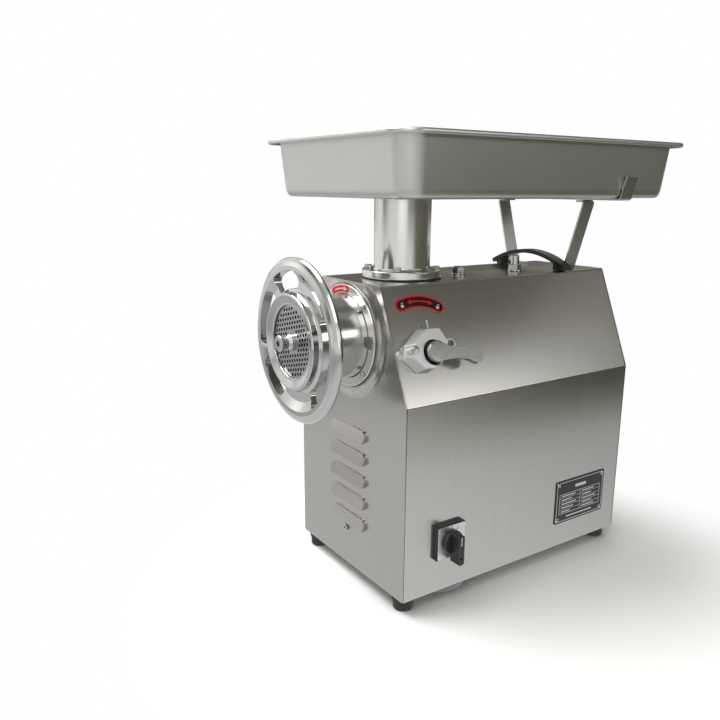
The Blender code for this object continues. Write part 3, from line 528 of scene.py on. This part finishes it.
def prism(name, outline, height, base, holes=()):
    """A flat outline, with any holes, extruded from its frame's plane along local Z."""
    curve = bpy.data.curves.new(name, "CURVE")
    curve.dimensions = "2D"
    curve.fill_mode = "BOTH"
    curve.extrude = height * MM / 2
    for points in [outline, *holes]:
        spline = curve.splines.new("POLY")
        spline.points.add(len(points) - 1)
        for target, (x, y) in zip(spline.points, points):
            target.co = (x * MM, y * MM, 0.0, 1.0)
        spline.use_cyclic_u = True
    source = add(name + "_outline", curve)
    graph = bpy.context.evaluated_depsgraph_get()
    mesh = bpy.data.meshes.new_from_object(source.evaluated_get(graph))
    bpy.data.objects.remove(source, do_unlink=True)
    bm = bmesh.new()
    bm.from_mesh(mesh)
    bpy.data.meshes.remove(mesh)
    bmesh.ops.remove_doubles(bm, verts=bm.verts, dist=1e-6)
    bmesh.ops.translate(bm, verts=bm.verts, vec=(0, 0, height * MM / 2))
    bmesh.ops.recalc_face_normals(bm, faces=bm.faces)
    return mesh_object(name, bm, base)


def turned(name, profile, base, steps, ring=False):
    """A turned piece. The profile is (radius, along local Z), down its outer side."""
    bm = bmesh.new()
    verts = [bm.verts.new((r * MM, 0.0, z * MM)) for r, z in profile]
    edges = [bm.edges.new(pair) for pair in zip(verts, verts[1:])]
    if ring:
        edges.append(bm.edges.new((verts[-1], verts[0])))
    bmesh.ops.spin(bm, geom=verts + edges, axis=(0, 0, 1), cent=(0, 0, 0), dvec=(0, 0, 0),
                   angle=math.tau, steps=steps, use_merge=True, use_duplicate=False)
    bmesh.ops.remove_doubles(bm, verts=bm.verts, dist=1e-6)
    bmesh.ops.recalc_face_normals(bm, faces=bm.faces)
    return mesh_object(name, bm, base)


def lathe(name, profile, fillet, base, steps, ring=False, limit=20):
    """A turned piece whose corners are rounded by the fillet: its radius and steps."""
    return turned(name, rounded(profile, *fillet, closed=ring, limit=limit), base, steps, ring)


def block(name, size, base):
    bm = bmesh.new()
    bmesh.ops.create_cube(bm, size=1.0)
    bmesh.ops.scale(bm, vec=Vector(size) * MM, verts=bm.verts)
    return mesh_object(name, bm, base)


def drill(name, radius, length, base, steps):
    """A round cutter centred on its frame."""
    return turned(name, [(0, length / 2), (radius, length / 2), (radius, -length / 2), (0, -length / 2)],
                  base, steps)


def apply_modifiers(obj):
    graph = bpy.context.evaluated_depsgraph_get()
    mesh = bpy.data.meshes.new_from_object(obj.evaluated_get(graph), depsgraph=graph)
    obj.modifiers.clear()
    obj.data = mesh
    return obj


def combine(target, tool, operation):
    boolean = target.modifiers.new("combine", "BOOLEAN")
    boolean.operation = operation
    boolean.solver = "EXACT"
    boolean.object = tool
    apply_modifiers(target)
    bpy.data.objects.remove(tool, do_unlink=True)
    return target


def cut(target, tool):
    return combine(target, tool, "DIFFERENCE")


def join(target, tool):
    return combine(target, tool, "UNION")


def bore(target, radius, length, base, steps=32):
    cut(target, drill("hole", radius, length, base, steps))


def soften(obj, width, segments=2, angle=35.0):
    bevel = obj.modifiers.new("edges", "BEVEL")
    bevel.width = width * MM
    bevel.segments = segments
    bevel.limit_method = "ANGLE"
    bevel.angle_limit = math.radians(angle)
    return apply_modifiers(obj)


def gather(target, *others):
    """Puts loose meshes into one object, for pieces that only touch."""
    bm = bmesh.new()
    for obj in (target, *others):
        bm.from_mesh(obj.data)
    for obj in others:
        bpy.data.objects.remove(obj, do_unlink=True)
    mesh = bpy.data.meshes.new(target.name)
    bm.to_mesh(mesh)
    bm.free()
    target.data = mesh
    return target


def piece(obj, look, body="frame", sharp=32.0, slot=None):
    """Gives a finished mesh its shading, finish and body.

    A piece named NODE_look stands for the CAD node NODE.
    """
    mesh = obj.data
    mesh.polygons.foreach_set("use_smooth", [True] * len(mesh.polygons))
    mesh.set_sharp_from_angle(angle=math.radians(sharp))
    weighted = obj.modifiers.new("normals", "WEIGHTED_NORMAL")
    weighted.keep_sharp = True
    apply_modifiers(obj)
    obj.data.materials.clear()
    obj.data.materials.append(LOOKS[look])
    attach(obj, body)
    slot = slot or SLOTS.get(look)
    if obj.name.endswith("_look"):
        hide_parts(obj.name.removesuffix("_look"))


def piece_of(name, parts, look):
    """One piece out of several loose marks."""
    gather(*parts)
    parts[0].name = name
    piece(parts[0], look)


def hex_screw(name, across, head, base, shank, shank_r=2.9, washer=0.0):
    """A hex head with a chamfered crown, its washer, and a shank below."""
    crown = turned(name + "_crown", [(0, head), (across * 0.47, head), (across * 0.60, head * 0.78),
                                     (across * 0.60, -1), (0, -1)], base, 48)
    body = prism(name, circle(across / math.sqrt(3), 6), head, base)
    combine(body, crown, "INTERSECT")
    soften(body, 0.35, 2, 25)
    parts = []
    if washer:
        parts.append(lathe(name + "_washer", [(0, 1.5), (washer, 1.5), (washer, 0), (0, 0)], (0.5, 3),
                           base, 40))
    parts.append(turned(name + "_shank", [(0, 0.2), (shank_r, 0.2), (shank_r, -shank), (0, -shank)],
                        base, 20))
    return gather(body, *parts)


def socket_screw(name, head_r, head, base, shank):
    shank_r = 2.0
    profile = [(0, head), (head_r, head), (head_r, 0), (shank_r, 0), (shank_r, -shank), (0, -shank)]
    body = lathe(name, profile, (0.7, 4), base, 36)
    return cut(body, prism(name + "_socket", circle(head_r * 0.5, 6), head, moved(base, z=head * 0.35)))


# Casing
FOOT_PLACES = {"fl": (-99.0, 15.0), "fr": (99.0, 15.0), "rl": (-97.0, 370.0), "rr": (97.0, 370.0)}
NECK_BOLTS = circle(NECK_BOLT_CIRCLE, 4, (0.0, NECK_Y), math.pi / 4)
TOP_BOLTS = {"top_bolt_front": (14.0, 160.0), "top_bolt_rear": (23.0, 253.0)}


def make_feet():
    profile = [(0, 26.8), (3, 26.8), (3, 17.7), (13.4, 17.7), (14.5, 16.2), (14.5, 13.2),
               (13.2, 12.0), (12.6, 2.2), (11.4, 0), (6, 0), (5, 2.5), (0, 2.5)]
    for tag, (x, y) in FOOT_PLACES.items():
        foot = lathe(f"foot_{tag}_look", profile, (0.8, 4), moved(ROOT, x, y), 64, limit=12)
        piece(foot, "rubber")


def make_shell():
    inner = SHEET / 2
    skin = [(BODY_HALF - inner, UNDERSIDE_Z), (BODY_HALF - inner, KINK_Z - inner),
            (TOP_HALF - inner, TOP_Z - inner), (inner - TOP_HALF, TOP_Z - inner),
            (inner - BODY_HALF, KINK_Z - inner), (inner - BODY_HALF, UNDERSIDE_Z)]
    length = BODY_LENGTH - 2 * (SHEET + GAP)
    shell = prism("cover_shell_look", band(rounded(skin, 3.0, 8, closed=False), SHEET), length,
                  moved(FRONT, z=-(BODY_LENGTH - SHEET - GAP)))
    soften(shell, 0.4, 2, 60)
    holes = [(x, y, 3.5) for x, y in NECK_BOLTS]
    holes += [(x, y, 4.6) for x, y in TOP_BOLTS.values()]
    holes += [(side * HANDLE_LEG_X, HANDLE_Y, 3.0) for side in (-1, 1)]
    holes.append((0, NECK_Y, NECK_R + 0.7))
    for x, y, radius in holes:
        bore(shell, radius, 20, moved(TOP, x, y))
    bore(shell, 8.8, 20, moved(SLOPE, *LOCK_HUB))
    bore(shell, 8.0, 20, SWITCH)
    piece(shell, "casing", sharp=40)


def make_front_panel():
    hole = [(x, y + HEAD_Z) for x, y in circle(HOUSING_R + 0.6, 96)]
    panel = prism("front_panel_look", rounded(BODY_OUTLINE, 3.0, 8), 1.2, moved(FRONT, z=-1.2), [hole])
    soften(panel, 0.4, 2, 60)
    profile = [(FLANGE_R + 0.4, 4.4), (67, 4.1), (71, 2.0), (75, 0.5), (79, 0.05), (79, -0.9),
               (FLANGE_R + 0.4, -0.9)]
    boss = lathe("boss", profile, (2.0, 4), HEAD, 128, ring=True, limit=6)
    inset = [(x * 0.995, z - 1.2) for x, z in BODY_OUTLINE]
    combine(boss, prism("boss_limit", inset, 20, moved(FRONT, z=-10)), "INTERSECT")
    join(panel, boss)
    top_louvre, louvre_pitch = 201.2, 29.4
    for i in range(5):
        z = top_louvre - louvre_pitch * i
        tilted = moved(FRONT, 0, z, 0, math.radians(-12), "X")
        hood = prism("hood", stadium(77, 16, 14), 6.4, moved(tilted, z=-2.4))
        soften(hood, 3.1, 6, 60)
        join(panel, hood)
        cut(panel, prism("pocket", stadium(66, 6, 10), 7.0, moved(FRONT, 0, z, -4.0)))
        cut(panel, prism("mouth", stadium(60, 3.6, 8), 4.8, moved(FRONT, 0, z - 7.2, -4.0)))
    bore(panel, 2.3, 10, moved(FRONT, -5.3, 67.9))
    piece(panel, "front", sharp=38)
    screw = socket_screw("earth_screw_look", 4.2, 3.0, moved(FRONT, -5.3, 67.9, GAP), 9.0)
    piece(screw, "fastener")


def make_rear_panel():
    vents = [stadium(70, 6, 8, (0.0, 190.0 - 16 * i)) for i in range(8)]
    panel = prism("rear_panel_look", rounded(BODY_OUTLINE, 3.0, 8), 1.2, moved(REAR, z=-1.2),
                  [*vents, circle(10.0, 32, (70.0, 55.0))])
    soften(panel, 0.35, 2, 60)
    piece(panel, "front")
    profile = [(4.5, 16), (7, 16), (8.5, 13), (8.5, 8), (13, 8), (13, 0.3), (9.6, 0.3), (9.6, -8),
               (4.5, -8)]
    gland = lathe("cable_gland_look", profile, (0.8, 4), moved(REAR, 70, 55), 48, ring=True)
    piece(gland, "plastic_matt")


def make_base_dish():
    profile = [(0, 6), (35, 6), (41, 15.5), (41, 17.6), (44, 17.6), (44, 16), (37, 4.5), (0, 4.5)]
    dish = lathe("base_dish_look", profile, (1.0, 4), moved(ROOT, *BASE_DISH_CENTRE), 96)
    piece(dish, "cast")


# Grinding head
def make_housing():
    profile = [(52.3, 7.3), (62.4, 7.3), (FLANGE_R, 6.0), (FLANGE_R, GAP), (HOUSING_R, GAP),
               (HOUSING_R, -130), (25.3, -130), (15.6, -130), (15.6, -124), (BARREL_R + 0.5, -124),
               (BARREL_R + 0.5, 6.5)]
    housing = lathe("head_housing_look", profile, (0.6, 3), HEAD, 144, ring=True)
    bore(housing, NECK_R + 0.6, 80, moved(ROOT, 0, NECK_Y, HEAD_Z + 60), 64)
    notch = block("notch", (16, 15, 10), moved(HEAD, BARREL_R + 1, 0, 6.5))
    cut(housing, notch)
    bore(housing, 8.8, 40, moved(SLOPE, *LOCK_HUB, -48))
    for i, (x, y) in enumerate(circle(57.0, 4, start=math.pi / 4)):
        bore(housing, 2.3, 30, moved(HEAD, x, y, -2), 20)
        screw = socket_screw(f"flange_screw_{i + 1}_look", 3.2, 2.2, moved(HEAD, x, y, 7.3 + GAP), 14.0)
        piece(screw, "fastener")
    piece(housing, "head")


def make_sticker():
    red = prism("turn_sticker", sector(53.2, 61.0, 80, 119, 3.6), 0.18, moved(HEAD, z=7.32))
    piece(red, "label_red")
    arrow = arc_band(56.4, 58.0, 90, 112, 14)
    head = []
    for radius, angle in ((60.0, 91), (57.2, 84), (54.4, 91)):
        head.append(polar(radius, math.radians(angle)))
    shaft = prism("turn_arrow", arrow, 0.1, moved(HEAD, z=7.5))
    gather(shaft, prism("head", head, 0.1, moved(HEAD, z=7.5)))
    piece(shaft, "label_white")


def make_barrel():
    profile = [(PLATE_R + 0.3, 78), (BELL_R, 78), (BELL_R, 46), (BARREL_R, 44),
               (BARREL_R, -121.5), (22, -121.5), (22, -98), (BORE_R, -98), (BORE_R, 62.5),
               (PLATE_R + 0.3, 62.5)]
    barrel = lathe("barrel_look", profile, (0.5, 3), HEAD, 144, ring=True)
    bore(barrel, NECK_BORE, 50, moved(ROOT, 0, NECK_Y, HEAD_Z + 50), 64)
    piece(barrel, "head", "barrel")


def make_worm():
    profile = [(0, STUD_TIP), (8.4, STUD_TIP), (9.6, 96.8), (9.6, 94), (7.2, 91), (7.2, 87),
               (9.6, 83.5), (9.6, 71.3), (7, 71.3), (7, 62), (16, 62), (18, 50), (18, -97),
               (21.6, -98), (21.6, -121), (0, -121)]
    worm = lathe("worm_look", profile, (0.8, 4), HEAD, 64)
    seat = block("seat", (15.4, 15.4, 9.2), moved(HEAD, z=66.6))
    join(worm, soften(seat, 0.5))
    cut(worm, block("socket", (21, 21, 24), moved(HEAD, z=-112)))
    cut(worm, prism("stud_socket", circle(4.2, 6), 8, moved(HEAD, z=STUD_TIP - 5)))
    turns, lead = 3.6, 38.0
    mesh = bpy.data.meshes.new("flight")
    mesh.from_pydata([(16.0 * MM, 0, 0), (44.0 * MM, 0, 0)], [(0, 1)], [])
    flight = add("flight", mesh)
    screw = flight.modifiers.new("flight", "SCREW")
    screw.axis = "Z"
    screw.angle = math.tau * turns
    screw.screw_offset = -lead * turns * MM
    screw.steps = 130
    screw.render_steps = 130
    screw.merge_threshold = 0.00001
    blade = flight.modifiers.new("blade", "SOLIDIFY")
    blade.thickness = 5.0 * MM
    blade.offset = 0.0
    apply_modifiers(flight)
    flight.data.transform(moved(HEAD, z=54.0))
    join(worm, flight)
    piece(worm, "tool", "worm")


def make_plate():
    pitch = 6.3
    lean = math.radians(14)
    centres = []
    for row in range(-9, 10):
        for column in range(-9, 10):
            x = pitch * (column + 0.5 * (row % 2))
            y = pitch * row * math.sqrt(3) / 2
            if 13.5 < math.hypot(x, y) < 41.0:
                centres.append((x * math.cos(lean) - y * math.sin(lean),
                                x * math.sin(lean) + y * math.cos(lean)))
    holes = [circle(2.05, 12, centre) for centre in centres]
    holes.append(circle(10.0, 48))
    plate = prism("cutter_plate_look", circle(PLATE_R, 96), 8.0, moved(HEAD, z=71.3), holes)
    piece(plate, "plate", "plate")


def make_ring_nut():
    face = HEAD_FRONT - 2.6
    profile = [(43.2, face), (45.5, face), (54.5, HEAD_FRONT), (55.9, HEAD_FRONT), (RING_R, 83.8),
               (RING_R + 0.8, 77), (61, 74.5), (72, 74), (78, 76.6), (83, 79.4), (88, 79.8),
               (93, 78.4), (96.4, 76.2), (WHEEL_R, 73.6), (97.2, 70.6), (94, 68.5), (84, 67.6),
               (72, 67), (RING_R, 66), (RING_R, 44), (BELL_R + 0.3, 44), (BELL_R + 0.3, 79.6),
               (43.2, 79.6)]
    ring = lathe("ring_nut_look", profile, (1.5, 5), HEAD, 180, ring=True, limit=6)
    for first, last in WHEEL_WINDOWS:
        cut(ring, prism("window", sector(62.0, 83.0, first, last, 7.0), 40, moved(HEAD, z=50)))
    soften(ring, 0.8, 3, 50)
    piece(ring, "chrome", "ring")


# Feed neck, tray and their supports
def make_neck():
    base = 1.6
    profile = [(NECK_BORE, 97.4), (NECK_R, 97.4), (NECK_R, base + 11), (NECK_R + 1.8, base + 9),
               (49.4, base + 9), (50, base + 8.2), (50, base), (NECK_R, base), (NECK_R, -13.2),
               (NECK_BORE, -13.2)]
    neck = lathe("feed_neck_look", profile, (1.0, 4), moved(TOP, 0, NECK_Y), 128, ring=True)
    gasket = prism("neck_gasket_look", circle(49.5, 96), 1.0, moved(TOP, 0, NECK_Y, GAP),
                   [circle(NECK_R + 0.7, 64), *[circle(3.5, 20, (x, y - NECK_Y)) for x, y in NECK_BOLTS]])
    piece(gasket, "rubber")
    for i, (x, y) in enumerate(NECK_BOLTS):
        bore(neck, 3.5, 30, moved(TOP, x, y, 8), 24)
        bolt = hex_screw(f"neck_bolt_{i + 1}_look", 9.0, 4.0, moved(TOP, x, y, base + 9 + GAP, 0.3 + i), 20.0)
        piece(bolt, "fastener")
    piece(neck, "neck")


def rounded_rectangle(half_x, half_y, radius, steps):
    points = []
    for sign_x, sign_y, quarter in ((1, 1, 0), (-1, 1, 1), (-1, -1, 2), (1, -1, 3)):
        for k in range(steps + 1):
            a = math.pi / 2 * (quarter + k / steps)
            points.append((sign_x * (half_x - radius) + radius * math.cos(a),
                           sign_y * (half_y - radius) + radius * math.sin(a)))
    return points


def smooth_path(points, per_span):
    """A Catmull-Rom curve through points of any size."""
    out = []
    last = len(points) - 1
    for i in range(last):
        quad = [Vector(points[max(0, i - 1)]), Vector(points[i]), Vector(points[i + 1]),
                Vector(points[min(last, i + 2)])]
        for k in range(per_span):
            t = k / per_span
            out.append(0.5 * (2 * quad[1] + (quad[2] - quad[0]) * t
                              + (2 * quad[0] - 5 * quad[1] + 4 * quad[2] - quad[3]) * t * t
                              + (3 * quad[1] - quad[0] - 3 * quad[2] + quad[3]) * t ** 3))
    out.append(Vector(points[-1]))
    return out


def make_tray():
    half_y = (TRAY_BACK_Y - TRAY_FRONT_Y) / 2
    middle_y = (TRAY_BACK_Y + TRAY_FRONT_Y) / 2
    sheet = 1.2
    height = TRAY_RIM_Z - TRAY_BOTTOM_Z - sheet
    # Each loop of the upper face is (inset from the rim, height above the floor, corner radius).
    rim = smooth_path([(1.0, height - 5.6, 32), (0.1, height - 4.6, 32), (0, height - 2.6, 32),
                       (0.4, height - 1.0, 31.7), (1.7, height - 0.1, 31), (3.6, height, 30.2)], 3)
    fold = smooth_path([(10.6, height - 0.4, 27.4), (12.2, height - 1.0, 26.8), (13.2, height - 2.4, 26.2),
                        (13.8, height - 5.0, 26)], 3)
    foot = smooth_path([(19.2, 10.0, 23.2), (19.8, 6.2, 22.8), (20.9, 3.0, 22), (22.8, 0.9, 20.6),
                        (25.5, 0, 18.5)], 3)
    bm = bmesh.new()
    rings = []
    for inset, z, radius in rim + fold + foot:
        points = rounded_rectangle(TRAY_HALF_X - inset, half_y - inset, radius, 12)
        rings.append([bm.verts.new((x * MM, y * MM, z * MM)) for x, y in points])
    for upper, lower in zip(rings, rings[1:]):
        for i in range(len(upper)):
            bm.faces.new((upper[i - 1], lower[i - 1], lower[i], upper[i]))
    bm.faces.new(list(reversed(rings[-1])))
    bmesh.ops.recalc_face_normals(bm, faces=bm.faces)
    tray = mesh_object("feed_tray_look", bm, moved(ROOT, 0, middle_y, TRAY_BOTTOM_Z + sheet))
    thickness = tray.modifiers.new("wall", "SOLIDIFY")
    thickness.thickness = sheet * MM
    thickness.offset = -1.0
    apply_modifiers(tray)
    join(tray, drill("spigot", NECK_BORE - 0.4, 13, moved(ROOT, 0, NECK_Y, TRAY_BOTTOM_Z - 5.7), 96))
    bore(tray, NECK_BORE - 2, 40, moved(ROOT, 0, NECK_Y, TRAY_BOTTOM_Z), 96)
    piece(tray, "tray", "tray", sharp=40)


def make_supports():
    foot_z = TOP_Z + GAP + 1.25
    for side, tag in ((-1, "left"), (1, "right")):
        path = [(34, foot_z), (52, foot_z), (79, 483.8), (66, 483.8)]
        path = [(side * x, z) for x, z in rounded(path, 4.0, 8, closed=False)]
        leg = prism(f"tray_leg_{tag}_look", band(path, 2.5), SUPPORT_WIDTH, SUPPORT)
        soften(leg, 0.4, 2, 50)
        piece(leg, "strap")
    cradle_z = TRAY_BOTTOM_Z - GAP - 1.25
    hook = [(135.5, cradle_z), (138.4, 501), (143.0, 515)]
    path = [(-x, z) for x, z in reversed(hook)] + hook
    cradle = prism("tray_cradle_look", band(rounded(path, 4.0, 8, closed=False), 2.5), SUPPORT_WIDTH,
                   SUPPORT)
    soften(cradle, 0.4, 2, 50)
    for side in (-1, 1):
        tab = [(side * x, z) for x, z in ((136.6, 494), (137.1, 501), (137.5, 514))]
        gather(cradle, prism("tab", band(tab, 0.9), SUPPORT_WIDTH, SUPPORT))
    piece(cradle, "strap")


def make_handle():
    bow = [(HANDLE_HALF * t, TOP_Z + 22.8 - 18.4 * t ** 2) for t in (k / 16 - 1 for k in range(33))]
    handle = prism("carry_handle_look", band(bow, 5.2), 16, moved(FRONT, z=-HANDLE_Y - 8))
    soften(handle, 2.2, 5, 50)
    leg_low = TOP_Z + GAP
    for side in (-1, 1):
        x = side * HANDLE_LEG_X
        leg = block("leg", (12, 14, 11), moved(ROOT, x, HANDLE_Y, leg_low + 5.5))
        join(handle, soften(leg, 1.6, 4))
        bore(handle, 2.8, 20, moved(ROOT, x, HANDLE_Y, leg_low), 24)
    piece(handle, "plastic")
    for side, tag in ((-1, "left"), (1, "right")):
        profile = [(0, 7), (2.4, 7), (2.4, -1.8), (5, -1.8), (5, -5.5), (0, -5.5)]
        bolt = lathe(f"handle_bolt_{tag}_look", profile, (0.4, 3),
                     moved(TOP, side * HANDLE_LEG_X, HANDLE_Y), 32)
        piece(bolt, "fastener")


def make_top_bolts():
    for (name, place), head, turn in zip(TOP_BOLTS.items(), (10.0, 8.5), (0.2, 0.6)):
        bolt = hex_screw(name + "_look", 15.0, head, moved(TOP, *place, GAP, turn), 5.0, 4.2, 9.5)
        if name == "top_bolt_rear":
            gather(bolt, lathe("stud", [(0, 21), (5.6, 21), (5.6, 7), (0, 7)], (1.2, 4),
                               moved(TOP, *place), 40))
        piece(bolt, "fastener")


# Controls
def make_lock():
    outline = [(15, 71), (8, 54), (24, 37), (40, 36), (60, 46), (70, 68), (60, 88), (38, 88)]
    outline.reverse()
    screws = ((17.2, 62.3), (77.0, 65.0))
    bracket = prism("lock_bracket_look", rounded(outline, 1.5, 4), 15.7, moved(SLOPE, z=GAP),
                    [circle(15.2, 72, LOCK_HUB)])
    hub = Vector((*LOCK_HUB, 0)) * MM
    for vertex in bracket.data.vertices:
        place = SLOPE.inverted() @ vertex.co
        reach = Vector((place.x - hub.x, place.y - hub.y, 0))
        if place.z > 8 * MM and reach.length > 17 * MM:
            vertex.co = SLOPE @ (place - reach * 0.14)
    join(bracket, lathe("seat", [(0, 15.9), (5.8, 15.9), (5.8, 6), (0, 6)], (0.5, 3),
                        moved(SLOPE, *screws[0]), 40))
    ear = prism("ear", stadium(26, 12, 14, (72, 65)), 6.0, moved(SLOPE, z=GAP))
    join(bracket, soften(ear, 0.8, 3, 50))
    for x, y in screws:
        bore(bracket, 2.3, 40, moved(SLOPE, x, y, 8), 24)
    soften(bracket, 0.35, 2, 38)
    piece(bracket, "bracket", sharp=24)
    for i, z, shank, head_r, look in ((0, 16.3, 15.5, 4.6, "fastener"), (1, 6.6, 5.5, 4.0, "cast")):
        screw = socket_screw(f"bracket_screw_{i + 1}_look", head_r, 2.6, moved(SLOPE, *screws[i], z), shank)
        piece(screw, look, slot="fastener_steel")

    pin = lathe("index_pin", [(0, 4.6), (2.0, 4.6), (2.0, 2.6), (1.3, 2.4), (1.3, -5), (0, -5)], (0.4, 3),
                axes((50.5, 91.0, 6.0), (1, 0, 0), (0, 0, -1), SLOPE), 24)
    piece(pin, "fastener")

    lever = lathe("lock_lever_look", [(0, 24.8), (12.5, 24.8), (12.5, 2), (0, 2)], (1.2, 4), LOCK, 72)
    outline = [(2, 11.2), (10, 9.2), (18, 6.9), (28, 5.9), (41, 5.7), (47, 6.8), (53, 9.2), (58.5, 9.8),
               (62.6, 7.0), (64, 2.5)]
    outline = outline + [(x, -y) for x, y in reversed(outline)]
    blade = prism("arm", [tuple(p) for p in rounded(outline, 3.0, 4, limit=8)], 8.0, moved(LOCK, z=16.8))
    soften(blade, 1.8, 4, 50)
    join(lever, blade)
    piece(lever, "lever", "lever")


def make_lock_label():
    centre = LOCK_HUB
    red = prism("lock_label", sector(56.6, 71.4, 51.5, 115.5, 7.4, centre), 0.2, moved(SLOPE, z=0.02))
    piece(red, "label_red")
    black = prism("lock_label_field", sector(58.6, 69.4, 53.3, 113.7, 5.4, centre), 0.12,
                  moved(SLOPE, z=0.2))
    piece(black, "label_black")
    shaft = prism("lock_label_arrow", arc_band(63.2, 65.0, 72, 95, 14, centre), 0.1, moved(SLOPE, z=0.3))
    tips = []
    for tip, back in ((67.0, 72.5), (100.0, 94.5)):
        points = [polar(radius, math.radians(angle), centre)
                  for radius, angle in ((67.3, back), (64.1, tip), (60.9, back))]
        tips.append(prism("tip", points, 0.1, moved(SLOPE, z=0.3)))
    gather(shaft, *tips)
    piece(shaft, "label_red")
    marks = []
    for angle, shackle_turn in ((59.5, 0.0), (107.5, 0.5)):
        a = math.radians(angle)
        place = moved(SLOPE, *polar(64, a, centre), 0.3, a - math.pi / 2)
        marks.append(prism("case", rounded(rectangle(-2.1, 2.1, -3.3, 0.2), 0.5, 2), 0.1, place))
        marks.append(prism("shackle", arc_band(0.9, 1.7, 0, 180, 12, (0.0, 0.4)), 0.1,
                           moved(place, shackle_turn * 2.4, 0.6)))
    piece_of("lock_label_marks", marks, "label_white")


def make_switch():
    side = SWITCH_SIDE / 2
    square = rounded(rectangle(-side, side, -side, side), 2.5, 6)
    shaft_hole = circle(3.6, 32)
    base = prism("switch_base_look", square, 5.4, moved(SWITCH, z=GAP), [shaft_hole])
    soften(base, 0.7, 3, 50)
    piece(base, "plastic_matt")
    face = prism("switch_face_look", [(x * 0.94, y * 0.94) for x, y in square], 1.3,
                 moved(SWITCH, z=6.0), [shaft_hole])
    soften(face, 0.3, 2, 50)
    piece(face, "silver")

    marks = []
    for angle in (60, 90, 120):
        place = moved(SWITCH, z=DIAL_Z, turn=math.radians(angle - 90))
        marks.append(prism("tick", rectangle(-0.45, 0.45, 15.6, 17.6), LINE_DEPTH, place))
    for angle, inner in ((120, 0.9), (60, 0.0)):
        a = math.radians(angle)
        spot = (19.3 * math.cos(a), 18.4 * math.sin(a))
        holes = [circle(inner, 20, spot)] if inner else []
        outline = circle(1.5, 24, spot) if inner else rectangle(spot[0] - 0.35, spot[0] + 0.35,
                                                                spot[1] - 1.6, spot[1] + 1.6)
        marks.append(prism("numeral", outline, LINE_DEPTH, moved(SWITCH, z=DIAL_Z), holes))
    piece_of("switch_marks", marks, "black_paint")

    profile = [(0, 13), (13.5, 13), (14.8, 11.8), (14.8, 7.6), (3.2, 7.6), (3.2, -7), (0, -7)]
    knob = lathe("switch_knob_look", profile, (0.5, 4), SWITCH, 72)
    outline = rounded([(-4.6, -24), (4.6, -24), (4.4, 14.4), (-4.4, 14.4)], 3.6, 8)
    grip = prism("grip", outline, 15.0, moved(SWITCH, z=11.0))
    soften(grip, 1.3, 4, 50)
    join(knob, grip)
    bore(knob, 1.7, 6, moved(SWITCH, y=-15.5, z=26.5), 24)
    piece(knob, "plastic_matt", "knob")
    line = prism("knob_line", rounded(rectangle(-0.7, 0.7, 1, 12.2), 0.4, 3), 0.12,
                 moved(SWITCH, z=25.95))
    spot = prism("dial_dot", circle(0.9, 20, (0, 19.2)), 0.12, moved(SWITCH, z=DIAL_Z))
    piece(line, "label_white", "knob")
    piece(spot, "label_red")


def make_rating_plate():
    x, y, notch = 49.0, 30.8, 4.6
    corner = rounded(rectangle(-x, x, -y, y), 2.5, 5)
    plate = prism("rating_plate_look", corner, 0.8, moved(RATING, z=GAP))
    soften(plate, 0.25, 2, 50)
    piece(plate, "black_paint")

    def notched(half_x, half_y, cut_in):
        quarter = [(half_x, half_y - cut_in), (half_x - cut_in, half_y - cut_in),
                   (half_x - cut_in, half_y)]
        half = quarter + [(-a, b) for a, b in reversed(quarter)]
        return half + [(-a, -b) for a, b in half]

    lines = [prism("frame", notched(x - 2.1, y - 2.1, notch), LINE_DEPTH, moved(RATING, z=LINE_Z),
                   [notched(x - 2.9, y - 2.9, notch)])]

    def bar(left, right, centre_y, width):
        return prism("bar", rectangle(left, right, centre_y - width / 2, centre_y + width / 2), LINE_DEPTH,
                     moved(RATING, z=LINE_Z))

    top, bottom = 11.0, -17.5
    lines += [bar(-41, 41, top, 0.7), bar(-41, 41, bottom, 0.7)]
    lines += [prism("post", rectangle(c - 0.35, c + 0.35, bottom, top), LINE_DEPTH, moved(RATING, z=LINE_Z))
              for c in (-41, 0, 41)]
    for i in range(1, 5):
        lines.append(bar(-41, 41, top + (bottom - top) * i / 5, 0.45))
    lengths = (27, 21, 30, 24, 18, 25, 19, 29, 22, 26)
    for i in range(5):
        y_row = top + (bottom - top) * (i + 0.5) / 5
        lines.append(bar(-37, -37 + lengths[i], y_row, 1.5))
        lines.append(bar(4, 4 + lengths[i + 5], y_row, 1.5))
    lines.append(bar(-11, 11, 19.0, 4.2))
    lines.append(bar(-26, 26, -23.0, 1.8))
    piece_of("rating_lines", lines, "silver")
    rivets = [turned("rivet", [(0, 1.3), (1.0, 1.15), (1.8, 0.7), (2.2, 0), (0, 0)],
                     moved(RATING, side_x * (x - 4.0), side_y * (y - 4.0), 1.1), 24)
              for side_x in (-1, 1) for side_y in (-1, 1)]
    piece_of("rating_rivets", rivets, "fastener")


for make in (make_feet, make_shell, make_front_panel, make_rear_panel, make_base_dish, make_housing,
             make_sticker, make_barrel, make_worm, make_plate, make_ring_nut, make_neck, make_tray,
             make_supports, make_handle, make_top_bolts, make_lock, make_lock_label, make_switch,
             make_rating_plate):
    make()

# Finishes of the CAD nodes that stay
KEPT = {
    "front": ["base_plate"],
    "tool": ["knife", "lock_shaft", "output_shaft", "output_gear", "idler_shaft", "idler_gear",
             "motor_shaft", "rotor"],
    "cast": ["gearbox_case", "gearbox_cover", "motor_can", "motor_end_bell"],
    "fastener": ["output_bearing"],
    "plastic_matt": ["switch_block", "motor_fan"],
    "copper": ["stator"],
    "white": ["run_capacitor"],
}
for look, names in KEPT.items():
    for name in names:
        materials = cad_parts[name].data.materials
        if not materials:
            materials.append(LOOKS[look])
        for i in range(len(materials)):
            materials[i] = LOOKS[look]
